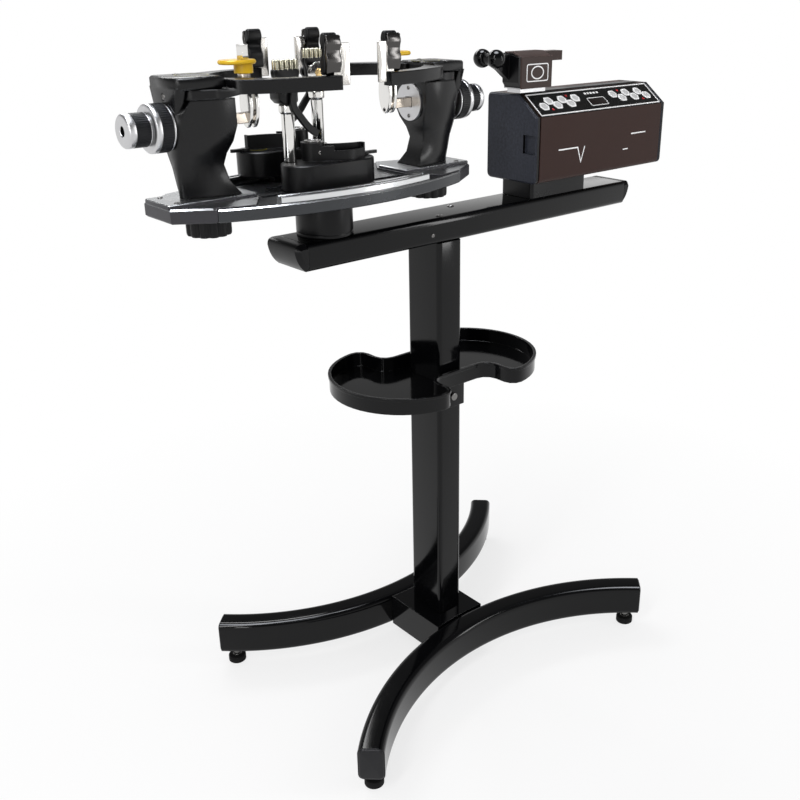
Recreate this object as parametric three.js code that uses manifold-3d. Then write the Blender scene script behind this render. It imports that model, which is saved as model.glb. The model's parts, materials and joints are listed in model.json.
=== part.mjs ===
// A floor standing electric stringing machine for badminton rackets.
// Millimetres, +Z up. The origin is on the floor under the middle of the column, +X runs along the
// beam from the turntable to the tension box, and -Y is the operator's side.
import * as THREE from "three";
import { mergeVertices } from "three/addons/utils/BufferGeometryUtils.js";
import Module from "manifold-3d";

// Fits shared by all pieces
const seat = 0.3; // gap between two pieces that touch
const running = 0.3; // radial clearance of a pin in its hole
const overrun = 4; // how far a cutting tool reaches past what it cuts

// Counts
const fineSides = 32;
const roundSides = 24;
const smallSides = 12;
const arcSteps = 6;
const edgeSteps = 2;

// Leg arcs and feet
const legRadius = 417;
const legSetBack = 75; // from the column's axis to the middle line of an arc
const legCentreY = legRadius + legSetBack;
const legHalfAngle = 45;
const legWidth = 38;
const legHeight = 54.5;
const legBottom = 25;
const legEdge = 5;
const legSteps = 12;
const legWall = 2.5;
const footInset = 20;
const footRadius = 14;
const footPadHeight = 12;
const footEdge = 2;
const footStemRadius = 6;

// Cross piece and column
const bridgeHalfLength = 48;
const columnX = 45;
const columnY = 70;
const columnCorner = 4;
const tubeWall = 3;

// Beam on the column
const beamBottom = 702;
const beamHeight = 36;
const beamWidth = 74;
const beamEdge = 6;
const beamLeft = -242;
const beamRight = 388;
const beamCapLength = 17;
const beamCapSetBack = 15;
const beamCapLip = 9;
const beamCapNose = 3;

// Tool tray
const trayBottom = 488;
const trayHeight = 24;
const trayLobeRadius = 111;
const trayLobeOffset = 62;
const trayNeck = 56;
const trayWaist = 55;
const trayCornerRadius = 19;
const trayWall = 3;
const trayFloor = 3;
const trayLip = 1.5;
const trayLipHeight = 4;
const trayCollarWall = 4;
const trayCollarHeight = 41;
const trayLobeSteps = 26;
const trayCornerSteps = 4;

// Turntable bearing and plate
const pivotX = -190;
const postOuter = 207; // from the pivot to a post's outer face, which sets the turntable's length
const plateEndInset = 22;
const turretRadius = 37;
const turretEdge = 2;
const spindleRadius = 12;
const spindleLength = 32;
const plateBottom = 789;
const plateThickness = 15;
const plateHalfWidth = 97;
const plateArcRadius = 480;
const plateHalfLength = postOuter - plateEndInset;
const plateEdge = 1.5;
const plateSteps = 12;
const grooveDepth = 5;
const grooveWidth = 12;
const grooveEndInset = 103;
const grooveHalfLength = postOuter - grooveEndInset;
const grooveFrontY = -30;
const grooveBackY = 56;

// Curved rails on the plate
const railInset = 5;
const railWidth = 16;
const railHeight = 8;
const railGrooveWidth = 5;
const railGrooveDepth = 3;
const railEndInset = 94;
const railHalfLength = postOuter - railEndInset;
const railSteps = 10;

// End noses
const noseReach = 22;
const noseTip = postOuter + noseReach;
const noseTipHalfWidth = 31;
const noseShoulderWidth = 59;
const noseCoverThickness = 2;
const noseCoverLength = 95;
const noseCoverInner = postOuter - noseCoverLength;
const noseCoverSlope = 30;
const noseCoverOuter = noseCoverInner + noseCoverSlope;
const noseTopHeight = 21;
const noseTopHalfWidth = 29;
const noseTopStep = 2;
const noseTopInner = noseCoverInner + noseTopStep;
const noseEdge = 2;
const slotInnerInset = 65.5;
const slotInner = postOuter - slotInnerInset;
const slotOuterInset = 16;
const slotOuter = postOuter - slotOuterInset;
const slotWidth = 9.2;
const rightPostOut = 12; // how much further out in its slot the right post stands

// Lock knobs under the noses
const lockInset = 41;
const lockX = postOuter - lockInset;
const lockRadius = 27;
const lockHeight = 25;
const lockFlutes = 12;
const lockFluteDepthShare = 0.1;
const lockStudRadius = 4;
const lockStudDepth = 7;

// End posts: the casting is lofted through the levels below
const postBottomGap = 0.3;
const postFoot = plateBottom + noseTopHeight + postBottomGap;
const postHeight = 94.7;
const postShoulder = postFoot + postHeight;
const postDepth = 74;
const postHalfWidth = 34;
const postCorner = 2;
// height, outer face, inner face, and half width at the outer face, middle and inner face,
// each as a share of the post's height, depth and half width
const postLevelShares = [
  [0, 0.89, -0.03, 0.1, 0.5, 0.68],
  [0.05, 0.89, 0.014, 0.11, 0.47, 0.6],
  [0.166, 0.905, 0.108, 0.16, 0.456, 0.44],
  [0.366, 0.93, 0.189, 0.235, 0.5, 0.426],
  [0.504, 0.953, 0.149, 0.353, 0.676, 0.53],
  [0.652, 0.973, 0.068, 0.47, 0.88, 0.735],
  [0.842, 0.99, 0.041, 0.56, 1, 0.97],
  [1, 1, 0.047, 0.65, 1, 0.97],
];
// how far in from the outer face each pair of section points lies
const postSideShares = [0, 0.03, 0.11, 0.24, 0.4, 0.56, 0.72, 0.87, 1];
const headOpening = 26;
const coverBottom = postShoulder + headOpening;
const coverThickness = 13;
const coverLength = 58;
const coverInner = postOuter - coverLength;
const coverCorner = 6;
const coverEdge = 2;
const backWall = 11;
const backWallLowShare = 0.62;
const backWallTopShare = 0.9;
const recessRadius = 4;
const recessSink = 2.5;
const recessDrop = 8;
const barPocketDepth = 44;

// Fork arms, which swing on pins in the post head
const armPinInset = 27;
const armPinX = postOuter - armPinInset;
const armPinY = 18.5;
const armPinRadius = 5;
const armRootRadius = 15;
const armRootHeight = 36;
const armTop = postShoulder + armRootHeight;
const armEndThickness = 15.5;
const armCoverGap = 2.5;
const armTallInner = coverInner - armCoverGap;
const armSlopeStart = 143;
const armSlopeEnd = 159;
const armReach = 93;
// outer and inner edges from the root to the end: distance from the pivot as a share of the post's
// distance, and distance from the centre line as a share of the arm's reach
const armOuterShares = [[0.783, 0.398], [0.676, 0.645], [0.483, 0.828], [0.29, 0.935], [0.145, 1]];
const armInnerShares = [[0.145, 0.839], [0.29, 0.763], [0.483, 0.624], [0.609, 0.409], [0.734, 0.129]];

// Claws on the arm ends
const clawLength = 20;
const clawOverhang = 2;
const clawInnerY = 74;
const clawPadDepth = 10;
const clawBackDepth = 6.5;
const clawHeight = 46;
const clawBarWidth = 13;
const clawBarThickness = 3.5;
const clawBarDrop = 11;
const clawBarTopShare = 0.76;
const clawNotchShare = 0.57;
const clawNotchDepthShare = 0.55;
const clawSteps = 5;

// Knobs on the outer faces, both on one axis
const knobDrop = 14.5;
const knobZ = postShoulder - knobDrop;
const bigKnobRadius = 27;
const bigKnobLength = 24;
const knobFlange = 4;
const knobFlangeInset = 3;
const knobRing = 3;
const knurlDepthShare = 0.035;
const bigKnurls = 30;
const smallKnobRadius = 19;
const smallKnobLength = 28;
const smallKnurls = 22;
const knobShaftRadius = 7;
const knobShaftReach = 16;
const socketRadius = 5.5;
const socketDepth = 8;
const knobChamfer = 2;

// Centre supports
const barSize = 12;
const barDrop = 12;
const barZ = postShoulder - barDrop;
const barInsidePost = 30;
const plateRise = 3;
const plateZ = postShoulder + plateRise;
const supportPlateHeight = 27;
const supportPlateWidth = 12;
const supportPlateThickness = 4.5;
const supportPlateGap = 4;
const supportShare = 0.476;
const supportX = postOuter * supportShare;
const supportHubRadius = 8;
const supportPinRadius = 5;
const supportPinOffset = 4.5;
const supportPinX = supportX + supportPinOffset;
const supportNutRadius = 7.5;
const supportNutHeight = 16;
const padRise = 38;
const padBottom = postShoulder + padRise;
const padHeight = 15;
const padRadius = 11;
const padFlangeRadius = 15;
const padFlangeOffset = 16;
const padFlangeHeight = 5;

// String clamps: both are made about the middle of their base, and the back one is turned round
const clampBaseRadius = 27;
const clampBaseTop = 836;
const clampBaseShare = 0.186;
const clampBaseHalfLength = postOuter * clampBaseShare;
const clampPostShare = 0.215;
const clampPostX = -postOuter * clampPostShare;
const clampPostY = 17;
const clampPostRadius = 8;
const clampPostTop = postShoulder;
const clampCollarRadius = 10.5;
const clampCollarHeight = 9;
const clampEdge = 1.5;
const frontUnit = { x: -195.5, y: -22 };
const backUnit = { x: -206.5, y: 61 };
const hubShare = -0.07;
const hubX = postOuter * hubShare;
const hubY = 11;
const hubRadius = 15;
const hubHeight = 22;
const dishHeight = 18;
const dishFrontHeight = 12;
const dishFloor = 6;
const dishWall = 3;
const dishEndShare = 0.238;
const dishEnd = postOuter * dishEndShare;
const dishEndFront = -12;
const dishEndBack = -5;
const dishBulge = -31;
const dishHollow = -4;
const tongueDepth = 4;
const tongueWidth = 11;
const tongueLength = 46;
const latchRadius = 6;
const latchHeight = 4;
const latchLength = 18;
const latchWidth = 6;
const latchShare = 0.278;
const latchX = postOuter * latchShare;
const latchY = 2;

// Clamp heads
const headHalfLength = 17;
const headBlockHeight = 16;
const headBlockHalfWidth = 11;
const headBlockRight = 10;
const headBlockFacet = 6;
const jawThickness = 5;
const jawGap = 1;
const jawReach = 51;
const jawTop = postShoulder + jawReach;
const jawTeeth = 5;
const toothHeight = 12;
const toothWidthShare = 0.62;
const jawHalfWidthLow = 13;
const camRadius = 13.5;
const camThickness = 5;
const camX = 6;
const camRise = 22;
const camZ = postShoulder + camRise;
const camShaftRadius = 4;
const leverHubRadius = 7;
const leverThickness = 4.5;
const leverWidth = 9;
const leverReach = 27;
const leverClearance = 10;
const leverDrop = camZ - clampBaseTop - hubHeight - leverClearance;
const leverSteps = 4;
// the lever's middle line from the shaft, as shares of its reach and of its drop
const leverLineShares = [[0, 0], [-0.19, 0.2], [-0.19, 0.43], [0.11, 0.62], [0.52, 0.84], [1, 1]];

// Tension box
const pedestalLeft = 168;
const pedestalRight = 293;
const pedestalHalfWidth = 32;
const boxBottom = 763.5;
const boxHeight = 126.5;
const boxLeft = 154;
const boxRight = 461.5;
const boxWall = 2;
const boxHalfWidth = 51.5;
const boxChamferRun = 38.5;
const boxChamferDrop = 30;
const boxCorner = 9;
const boxCapThickness = 9;
const boxEdge = 2.5;
const recessDepth = 5;
const recessY = -49;
const recessWidth = 24;
const recessZ = 807;
const recessHeight = 27;
const trackHeight = 2;
const trackHalfWidth = 9;
const trackInset = 14;
const inletX = 425;
const inletZ = 785;
const inletWidth = 28;
const inletHeight = 22;
const inletDepth = 10;

// Tension head
const headLeft = 146;
const headRight = 213;
const headFront = -25;
const headBack = 10;
const headTop = 949;
const headFrontDrop = 7;
const headSlopeDepth = 18;
const headEdge = 1.5;
const headFootHeight = 6;
const headFootInset = 7;
const wingLength = 37;
const wingHeight = 15;
const wingFront = -10;
const bracketThickness = 9;
const bracketPlate = 4;
const bracketTaper = 9;
const spoolX = 106;
const spoolZ = 941;
const bossRadius = 8;
const ballRadius = 13;
const ballOffset = 14;
const spoolNeckRadius = 6;
const axleRadius = 4;

const wasm = await Module();
wasm.setup();

const radians = THREE.MathUtils.degToRad;

// Finishes
const finish = (color, roughness, metalness) =>
  new THREE.MeshStandardMaterial({ color, roughness, metalness });
const glossBlack = finish(0x0b0c0e, 0.18, 0);
const satinBlack = finish(0x15161a, 0.4, 0);
const plasticBlack = finish(0x1a1a1c, 0.55, 0);
const rubberBlack = finish(0x101010, 0.85, 0);
const chrome = finish(0xd8d6d2, 0.12, 1);
const steel = finish(0xb5ada0, 0.3, 1);
const aluminium = finish(0xc4c6c8, 0.32, 1);
const anodised = finish(0x55575b, 0.4, 0.8);
const nylonYellow = finish(0xf3c400, 0.45, 0);
const housingGrey = finish(0x3a3b45, 0.65, 0);
const housingBrown = finish(0x3b2a24, 0.5, 0);

// A closed three.js geometry as a solid that can be joined and cut
function solid(geometry) {
  const bare = geometry.clone();
  bare.deleteAttribute("normal");
  bare.deleteAttribute("uv");
  const merged = mergeVertices(bare);
  const corners = merged.index.array;
  const kept = [];
  for (let i = 0; i < corners.length; i += 3) {
    const [a, b, c] = corners.slice(i, i + 3);
    if (a !== b && b !== c && c !== a) kept.push(a, b, c);
  }
  const vertProperties = new Float32Array(merged.attributes.position.array);
  const triVerts = new Uint32Array(kept);
  return new wasm.Manifold(new wasm.Mesh({ numProp: 3, vertProperties, triVerts }));
}

// A solid back as a three.js geometry
function geometryOf(shape) {
  const mesh = shape.getMesh();
  const geometry = new THREE.BufferGeometry();
  geometry.setAttribute("position", new THREE.BufferAttribute(mesh.vertProperties, 3));
  geometry.setIndex(new THREE.BufferAttribute(mesh.triVerts, 1));
  geometry.computeVertexNormals();
  return geometry;
}

function join(...pieces) {
  return pieces.reduce((whole, piece) => whole.add(piece));
}

// A named mesh from a solid
function piece(name, shape, material, holder) {
  const mesh = new THREE.Mesh(geometryOf(shape), material);
  mesh.name = name;
  holder.add(mesh);
  return mesh;
}

// A block between two limits on each axis
function block([x0, x1], [y0, y1], [z0, z1]) {
  const geometry = new THREE.BoxGeometry(x1 - x0, y1 - y0, z1 - z0);
  return solid(geometry.translate((x0 + x1) / 2, (y0 + y1) / 2, (z0 + z1) / 2));
}

// An outline in X and Y raised from z0 to z1, with its long edges rounded
function raise(shape, z0, z1, edge = 0, steps = arcSteps, rounds = 1) {
  const geometry = new THREE.ExtrudeGeometry(shape, {
    depth: z1 - z0 - 2 * edge,
    bevelEnabled: edge > 0,
    bevelSize: edge,
    bevelThickness: edge,
    bevelOffset: -edge,
    bevelSegments: rounds,
    curveSegments: steps,
  });
  return geometry.translate(0, 0, z0 + edge);
}

// An outline in Y and Z carried along X from x0 to x1
function carryX(shape, x0, x1, edge = 0, steps = arcSteps, rounds = 1) {
  const turn = new THREE.Matrix4().makeBasis(
    new THREE.Vector3(0, 1, 0),
    new THREE.Vector3(0, 0, 1),
    new THREE.Vector3(1, 0, 0),
  );
  return raise(shape, x0, x1, edge, steps, rounds).applyMatrix4(turn);
}

// An outline in X and Z carried along Y from y0 to y1
function carryY(shape, y0, y1, edge = 0, steps = arcSteps, rounds = 1) {
  const turn = new THREE.Matrix4().makeBasis(
    new THREE.Vector3(1, 0, 0),
    new THREE.Vector3(0, 0, 1),
    new THREE.Vector3(0, -1, 0),
  );
  return raise(shape, -y1, -y0, edge, steps, rounds).applyMatrix4(turn);
}

// A profile of [radius, height] points turned about the Z axis
function turned(profile, sides = roundSides) {
  const points = profile.map(([radius, height]) => new THREE.Vector2(radius, height));
  return new THREE.LatheGeometry(points, sides).rotateX(Math.PI / 2);
}

function rod(radius, z0, z1, sides = roundSides) {
  return turned([[0, z0], [radius, z0], [radius, z1], [0, z1]], sides);
}

// Turns what was made upright about Z so that it lies along -X, the way the left knobs point
function layOutward(geometry) {
  return geometry.rotateY(-Math.PI / 2);
}

function layAlongY(geometry) {
  return geometry.rotateX(-Math.PI / 2);
}

// A rod along Y between two distances, about an axis at x and z
function crossRod(radius, y0, y1, x, z, sides = smallSides) {
  return solid(layAlongY(rod(radius, y0, y1, sides)).translate(x, 0, z));
}

// The convex body round a set of [x, y, z] points
function wedge(points) {
  return wasm.Manifold.hull(points);
}

function rectangle(x0, x1, y0, y1, corner = 0) {
  const shape = new THREE.Shape();
  if (corner === 0) {
    shape.moveTo(x0, y0);
    shape.lineTo(x1, y0);
    shape.lineTo(x1, y1);
    shape.lineTo(x0, y1);
    return shape;
  }
  shape.absarc(x1 - corner, y0 + corner, corner, -Math.PI / 2, 0);
  shape.absarc(x1 - corner, y1 - corner, corner, 0, Math.PI / 2);
  shape.absarc(x0 + corner, y1 - corner, corner, Math.PI / 2, Math.PI);
  shape.absarc(x0 + corner, y0 + corner, corner, Math.PI, Math.PI * 1.5);
  return shape;
}

function racetrack(x0, x1, y, radius) {
  const shape = new THREE.Shape();
  shape.absarc(x1, y, radius, -Math.PI / 2, Math.PI / 2);
  shape.absarc(x0, y, radius, Math.PI / 2, Math.PI * 1.5);
  return shape;
}

// A toothed circle: grooves of the given depth share all round
function fluted(radius, flutes, depthShare, stepsPerFlute) {
  const points = [];
  const count = flutes * stepsPerFlute;
  for (let i = 0; i < count; i += 1) {
    const angle = (i / count) * 2 * Math.PI;
    const wave = (1 - Math.cos(angle * flutes)) / 2;
    const reach = radius * (1 - depthShare * wave);
    points.push(new THREE.Vector2(reach * Math.cos(angle), reach * Math.sin(angle)));
  }
  return new THREE.Shape(points);
}

// One leg arc: a curved rectangular tube, open at both ends, about a centre in front of or behind the column
function legArc() {
  const start = Math.PI / 2 - radians(legHalfAngle);
  const end = Math.PI / 2 + radians(legHalfAngle);
  const band = (inset, past) => {
    const shape = new THREE.Shape();
    shape.absarc(0, 0, legRadius + legWidth / 2 - inset, start - past, end + past, false);
    shape.absarc(0, 0, legRadius - legWidth / 2 + inset, end + past, start - past, true);
    return shape;
  };
  const top = legBottom + legHeight;
  const tube = solid(raise(band(0, 0), legBottom, top, legEdge, legSteps, edgeSteps));
  const inside = solid(raise(
    band(legWall, overrun / legRadius * 2), legBottom + legWall, top - legWall, legEdge - legWall, legSteps,
  ));
  return tube.subtract(inside).translate(0, -legCentreY, 0);
}

function foot() {
  const stemTop = legBottom - seat;
  return solid(
    turned([
      [0, 0],
      [footRadius - footEdge, 0],
      [footRadius, footEdge],
      [footRadius, footPadHeight - footEdge],
      [footRadius - footEdge, footPadHeight],
      [footStemRadius, footPadHeight],
      [footStemRadius, stemTop],
      [0, stemTop],
    ], smallSides),
  );
}

// The cross piece between the arcs
function bridge() {
  const reach = legRadius + legWidth / 2 + seat;
  const half = Math.asin(bridgeHalfLength / reach);
  const shape = new THREE.Shape();
  shape.absarc(0, -legCentreY, reach, Math.PI / 2 + half, Math.PI / 2 - half, true);
  shape.absarc(0, legCentreY, reach, -Math.PI / 2 + half, -Math.PI / 2 - half, true);
  return solid(raise(shape, legBottom, legBottom + legHeight));
}

// The column, a rectangular tube between the cross piece and the beam
function column() {
  const bottom = legBottom + legHeight + seat;
  const top = beamBottom - seat;
  const outline = (inset) => rectangle(
    -columnX / 2 + inset, columnX / 2 - inset, -columnY / 2 + inset, columnY / 2 - inset, columnCorner - inset,
  );
  const tube = solid(raise(outline(0), bottom, top));
  return tube.subtract(solid(raise(outline(tubeWall), bottom - overrun, top + overrun)));
}

// The beam, a rectangular tube that its two caps close
function beam() {
  const section = (inset) => rectangle(
    -beamWidth / 2 + inset, beamWidth / 2 - inset,
    beamBottom + inset, beamBottom + beamHeight - inset, beamEdge - inset,
  );
  const tube = solid(carryX(section(0), beamLeft, beamRight, 0, edgeSteps * 2));
  return tube.subtract(solid(carryX(section(tubeWall), beamLeft - overrun, beamRight + overrun, 0, edgeSteps)));
}

// An end cap shaped like a boat's bow, made at its seam and pointing to +X
function beamCap() {
  const top = beamHeight;
  const shape = new THREE.Shape();
  shape.moveTo(-beamEdge * 2, 0);
  shape.lineTo(beamCapLength - beamCapSetBack, 0);
  shape.quadraticCurveTo(beamCapLength - beamCapNose, beamCapLip, beamCapLength, top - beamCapLip);
  shape.quadraticCurveTo(beamCapLength, top, beamCapLength - beamCapLip, top);
  shape.lineTo(-beamEdge * 2, top);
  const whole = solid(carryY(shape, -beamWidth / 2, beamWidth / 2, beamEdge, edgeSteps * 3));
  const keep = block([seat, beamCapLength + overrun], [-beamWidth, beamWidth], [-overrun, top + overrun]);
  return whole.intersect(keep);
}

// The tray's outline, two round lobes joined by a narrow waist, drawn inwards by an inset
function trayOutline(inset) {
  const corner = trayCornerRadius;
  const cornerX = trayNeck + corner;
  const reach = trayLobeRadius - corner;
  const across = cornerX - trayLobeOffset;
  const cornerY = Math.sqrt(reach * reach - across * across);
  const lobeAngle = Math.atan2(cornerY, across);
  const valleyX = trayNeck - corner;
  const valleyY = trayWaist + corner;
  const quarter = Math.PI / 2;
  const points = [];
  const arc = (x, y, radius, from, to, steps) => {
    for (let i = 0; i < steps; i += 1) {
      const angle = from + ((to - from) * i) / (steps - 1);
      points.push(new THREE.Vector2(x + radius * Math.cos(angle), y + radius * Math.sin(angle)));
    }
  };
  for (const turn of [0, Math.PI]) {
    const side = turn === 0 ? 1 : -1;
    arc(side * trayLobeOffset, 0, trayLobeRadius - inset, turn - lobeAngle, turn + lobeAngle, trayLobeSteps);
    arc(side * cornerX, side * cornerY, corner - inset, turn + lobeAngle, turn + Math.PI, trayCornerSteps);
    arc(side * valleyX, side * valleyY, corner + inset, turn, turn - quarter, trayCornerSteps);
    arc(-side * valleyX, side * valleyY, corner + inset, turn - quarter, turn - Math.PI, trayCornerSteps);
    arc(-side * cornerX, side * cornerY, corner - inset, turn, turn + Math.PI - lobeAngle, trayCornerSteps);
  }
  return new THREE.Shape(points);
}

function tray() {
  const rim = trayBottom + trayHeight;
  const outside = solid(raise(trayOutline(trayLip), trayBottom, rim));
  const lip = solid(raise(trayOutline(0), rim - trayLipHeight, rim));
  const hollow = solid(raise(trayOutline(trayLip + trayWall), trayBottom + trayFloor, rim + overrun));
  const collar = solid(raise(
    rectangle(
      -columnX / 2 - trayCollarWall, columnX / 2 + trayCollarWall,
      -columnY / 2 - trayCollarWall, columnY / 2 + trayCollarWall, columnCorner,
    ),
    trayBottom - trayCollarHeight, trayBottom + trayFloor, 0, edgeSteps,
  ));
  const hole = block(
    [-columnX / 2 - seat, columnX / 2 + seat],
    [-columnY / 2 - seat, columnY / 2 + seat],
    [trayBottom - trayCollarHeight - overrun, rim + overrun],
  );
  return join(outside, lip).subtract(hollow).add(collar).subtract(hole);
}

// The bearing housing that carries the turntable's spindle
function turret() {
  const bottom = beamBottom + beamHeight + seat;
  const top = plateBottom - seat;
  const bore = spindleRadius + running;
  const boreBottom = plateBottom - spindleLength - seat;
  return solid(turned([
    [0, bottom],
    [turretRadius - turretEdge, bottom],
    [turretRadius, bottom + turretEdge],
    [turretRadius, top - turretEdge],
    [turretRadius - turretEdge, top],
    [bore, top],
    [bore, boreBottom],
    [0, boreBottom],
  ], fineSides));
}

// Half width of the lens shaped turntable at a distance from the pivot
const lensDrop = plateArcRadius - plateHalfWidth;
function lensHalfWidth(distance) {
  return Math.sqrt(plateArcRadius ** 2 - distance ** 2) - lensDrop;
}

// The lens between two arcs, cut off square at both ends
function lensShape(halfLength) {
  const half = Math.asin(halfLength / plateArcRadius);
  const shape = new THREE.Shape();
  shape.absarc(0, -lensDrop, plateArcRadius, Math.PI / 2 - half, Math.PI / 2 + half, false);
  shape.absarc(0, lensDrop, plateArcRadius, -Math.PI / 2 - half, -Math.PI / 2 + half, false);
  return shape;
}

const plateTop = plateBottom + plateThickness;

function boltSlot(z0, z1, outer) {
  const slot = [
    racetrack(slotInner + slotWidth / 2, outer, 0, slotWidth / 2),
    racetrack(-outer, -slotInner - slotWidth / 2, 0, slotWidth / 2),
  ];
  return slot.map((shape) => solid(raise(shape, z0 - overrun, z1 + overrun)));
}

function turntablePlate() {
  const lens = solid(raise(lensShape(plateHalfLength), plateBottom, plateTop, plateEdge, plateSteps));
  const spindle = solid(rod(spindleRadius, plateBottom - spindleLength, plateBottom + plateEdge));
  const slots = boltSlot(plateBottom, plateTop, plateHalfLength + slotWidth);
  const grooves = [grooveFrontY, grooveBackY].map((y) =>
    solid(raise(
      racetrack(-grooveHalfLength, grooveHalfLength, y, grooveWidth / 2),
      plateTop - grooveDepth, plateTop + overrun,
    )),
  );
  return [...slots, ...grooves].reduce((left, cut) => left.subtract(cut), join(lens, spindle));
}

// A rail bent along the back edge of the plate, with a groove down its middle
function backRail() {
  const outer = plateArcRadius - railInset;
  const half = Math.asin(railHalfLength / outer);
  const band = (inside, outside, z0, z1) => {
    const shape = new THREE.Shape();
    shape.absarc(0, -lensDrop, outside, Math.PI / 2 - half, Math.PI / 2 + half, false);
    shape.absarc(0, -lensDrop, inside, Math.PI / 2 + half, Math.PI / 2 - half, true);
    return solid(raise(shape, z0, z1, 0, railSteps));
  };
  const middle = outer - railWidth / 2;
  const bottom = plateTop + seat;
  const top = plateTop + railHeight;
  const bar = band(outer - railWidth, outer, bottom, top);
  const halfGroove = railGrooveWidth / 2;
  const groove = band(middle - halfGroove, middle + halfGroove, top - railGrooveDepth, top + overrun);
  return bar.subtract(groove);
}

// The moulded end of the turntable on the left, which closes the plate and carries the post
function nose() {
  const low = new THREE.Shape();
  const inner = -plateHalfLength - seat;
  low.moveTo(inner, -noseShoulderWidth);
  low.lineTo(inner, noseShoulderWidth);
  low.lineTo(-noseTip, noseTipHalfWidth);
  low.lineTo(-noseTip, -noseTipHalfWidth);
  const end = solid(raise(low, plateBottom, plateTop + noseCoverThickness, noseEdge, edgeSteps));
  const cover = new THREE.Shape();
  const coverWidth = lensHalfWidth(noseCoverOuter) - railInset;
  cover.moveTo(-noseCoverInner, -noseTopHalfWidth);
  cover.lineTo(-noseCoverInner, noseTopHalfWidth);
  cover.lineTo(-noseCoverOuter, coverWidth);
  cover.lineTo(-plateHalfLength - noseEdge * 2, noseShoulderWidth - noseEdge);
  cover.lineTo(-plateHalfLength - noseEdge * 2, -noseShoulderWidth + noseEdge);
  cover.lineTo(-noseCoverOuter, -coverWidth);
  const skin = solid(raise(cover, plateTop + seat, plateTop + noseCoverThickness));
  const top = solid(raise(
    rectangle(-noseTip, -noseTopInner, -noseTopHalfWidth, noseTopHalfWidth, noseEdge),
    plateTop + seat, plateBottom + noseTopHeight, noseEdge / 2, edgeSteps,
  ));
  const [, slot] = boltSlot(plateBottom, plateBottom + noseTopHeight, slotOuter - slotWidth / 2);
  return join(end, skin, top).subtract(slot);
}

// The fluted knob and its stud, which clamp the post to the nose
function lockKnob() {
  const top = plateBottom - seat;
  const grip = solid(raise(
    fluted(lockRadius, lockFlutes, lockFluteDepthShare, edgeSteps * 2), top - lockHeight, top, plateEdge,
  ));
  const stud = solid(rod(lockStudRadius, top - plateEdge, plateBottom + noseTopHeight + lockStudDepth, smallSides));
  return join(grip, stud).translate(-lockX, 0, 0);
}

// The casting of an end post: a flat inner face, bulging sides and a narrow outer face, lofted through
// the level shares. Each side is the parabola through its three half widths.
function postCasting() {
  const foot0 = postOuter - postDepth;
  const rings = postLevelShares.map(([heightShare, outerShare, innerShare, ...widthShares]) => {
    const outer = foot0 + postDepth * outerShare;
    const inner = foot0 + postDepth * innerShare;
    const [narrow, middle, wide] = widthShares.map((share) => share * postHalfWidth);
    const side = postSideShares.map((share, i) => {
      const half = narrow * (1 - share) * (1 - 2 * share)
        + 4 * middle * share * (1 - share) + wide * share * (2 * share - 1);
      return [-outer + (outer - inner) * share, i === 0 ? Math.max(half - postCorner, postCorner / 2) : half];
    });
    const level = postFoot + postHeight * heightShare;
    const near = side.map(([x, half]) => [x, -half, level]);
    const far = side.map(([x, half]) => [x, half, level]).reverse();
    return [...near, ...far];
  });
  const positions = rings.flat(2);
  const count = postSideShares.length * 2;
  const index = [];
  for (let level = 0; level + 1 < rings.length; level += 1) {
    for (let i = 0; i < count; i += 1) {
      const a = level * count + i;
      const b = level * count + ((i + 1) % count);
      index.push(a, b, b + count, a, b + count, a + count);
    }
  }
  const last = (rings.length - 1) * count;
  for (let i = 0; i + 1 < postSideShares.length; i += 1) {
    const across = count - 1 - i;
    index.push(i, across, i + 1, i + 1, across, across - 1);
    index.push(last + i, last + i + 1, last + across, last + i + 1, last + across - 1, last + across);
  }
  const geometry = new THREE.BufferGeometry();
  geometry.setAttribute("position", new THREE.Float32BufferAttribute(positions, 3));
  geometry.setIndex(index);
  return solid(geometry);
}

// The whole left post: casting, head with its cover plate, and the pins that the arms swing on
function post() {
  const casting = postCasting();
  const cover = new THREE.Shape();
  cover.moveTo(-postOuter, -postHalfWidth + coverCorner);
  cover.lineTo(-postOuter + coverCorner, -postHalfWidth);
  cover.lineTo(-coverInner, -postHalfWidth);
  cover.lineTo(-coverInner, postHalfWidth);
  cover.lineTo(-postOuter + coverCorner, postHalfWidth);
  cover.lineTo(-postOuter, postHalfWidth - coverCorner);
  const coverPlate = solid(raise(cover, coverBottom, coverBottom + coverThickness, coverEdge, edgeSteps));
  const wallX = -postOuter + backWall;
  const low = postHalfWidth * backWallLowShare;
  const high = postHalfWidth * backWallTopShare;
  const wallTop = coverBottom + coverEdge;
  const wall = wedge([-1, 1].flatMap((side) => [
    [-postOuter + seat, side * low, postShoulder - coverEdge],
    [wallX, side * low, postShoulder - coverEdge],
    [-postOuter + seat, side * high, wallTop],
    [wallX, side * (high + coverEdge), wallTop],
  ]));
  const screwRecess = solid(layOutward(rod(recessRadius, -recessSink, overrun, smallSides))
    .translate(-postOuter, 0, coverBottom - recessDrop));
  const pins = [-1, 1].map((side) =>
    solid(rod(armPinRadius, postShoulder - overrun, coverBottom + overrun, smallSides)
      .translate(-armPinX, side * armPinY, 0)),
  );
  const half = barSize / 2 + running;
  const inside = postOuter - postDepth;
  const pocket = block(
    [-inside - barPocketDepth, -inside + overrun],
    [-half, half],
    [barZ - half, barZ + half],
  );
  const bore = solid(layOutward(rod(knobShaftRadius + running, 0, knobShaftReach + overrun * 2, roundSides))
    .translate(-postOuter + knobShaftReach + overrun, 0, knobZ));
  const studHole = solid(rod(
    lockStudRadius + running, plateBottom, plateBottom + noseTopHeight + lockStudDepth + overrun / 2, smallSides,
  ).translate(-lockX, 0, 0));
  const whole = join(casting, coverPlate, wall, ...pins);
  return [pocket, bore, studHole, screwRecess].reduce((left, cut) => left.subtract(cut), whole);
}

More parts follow.
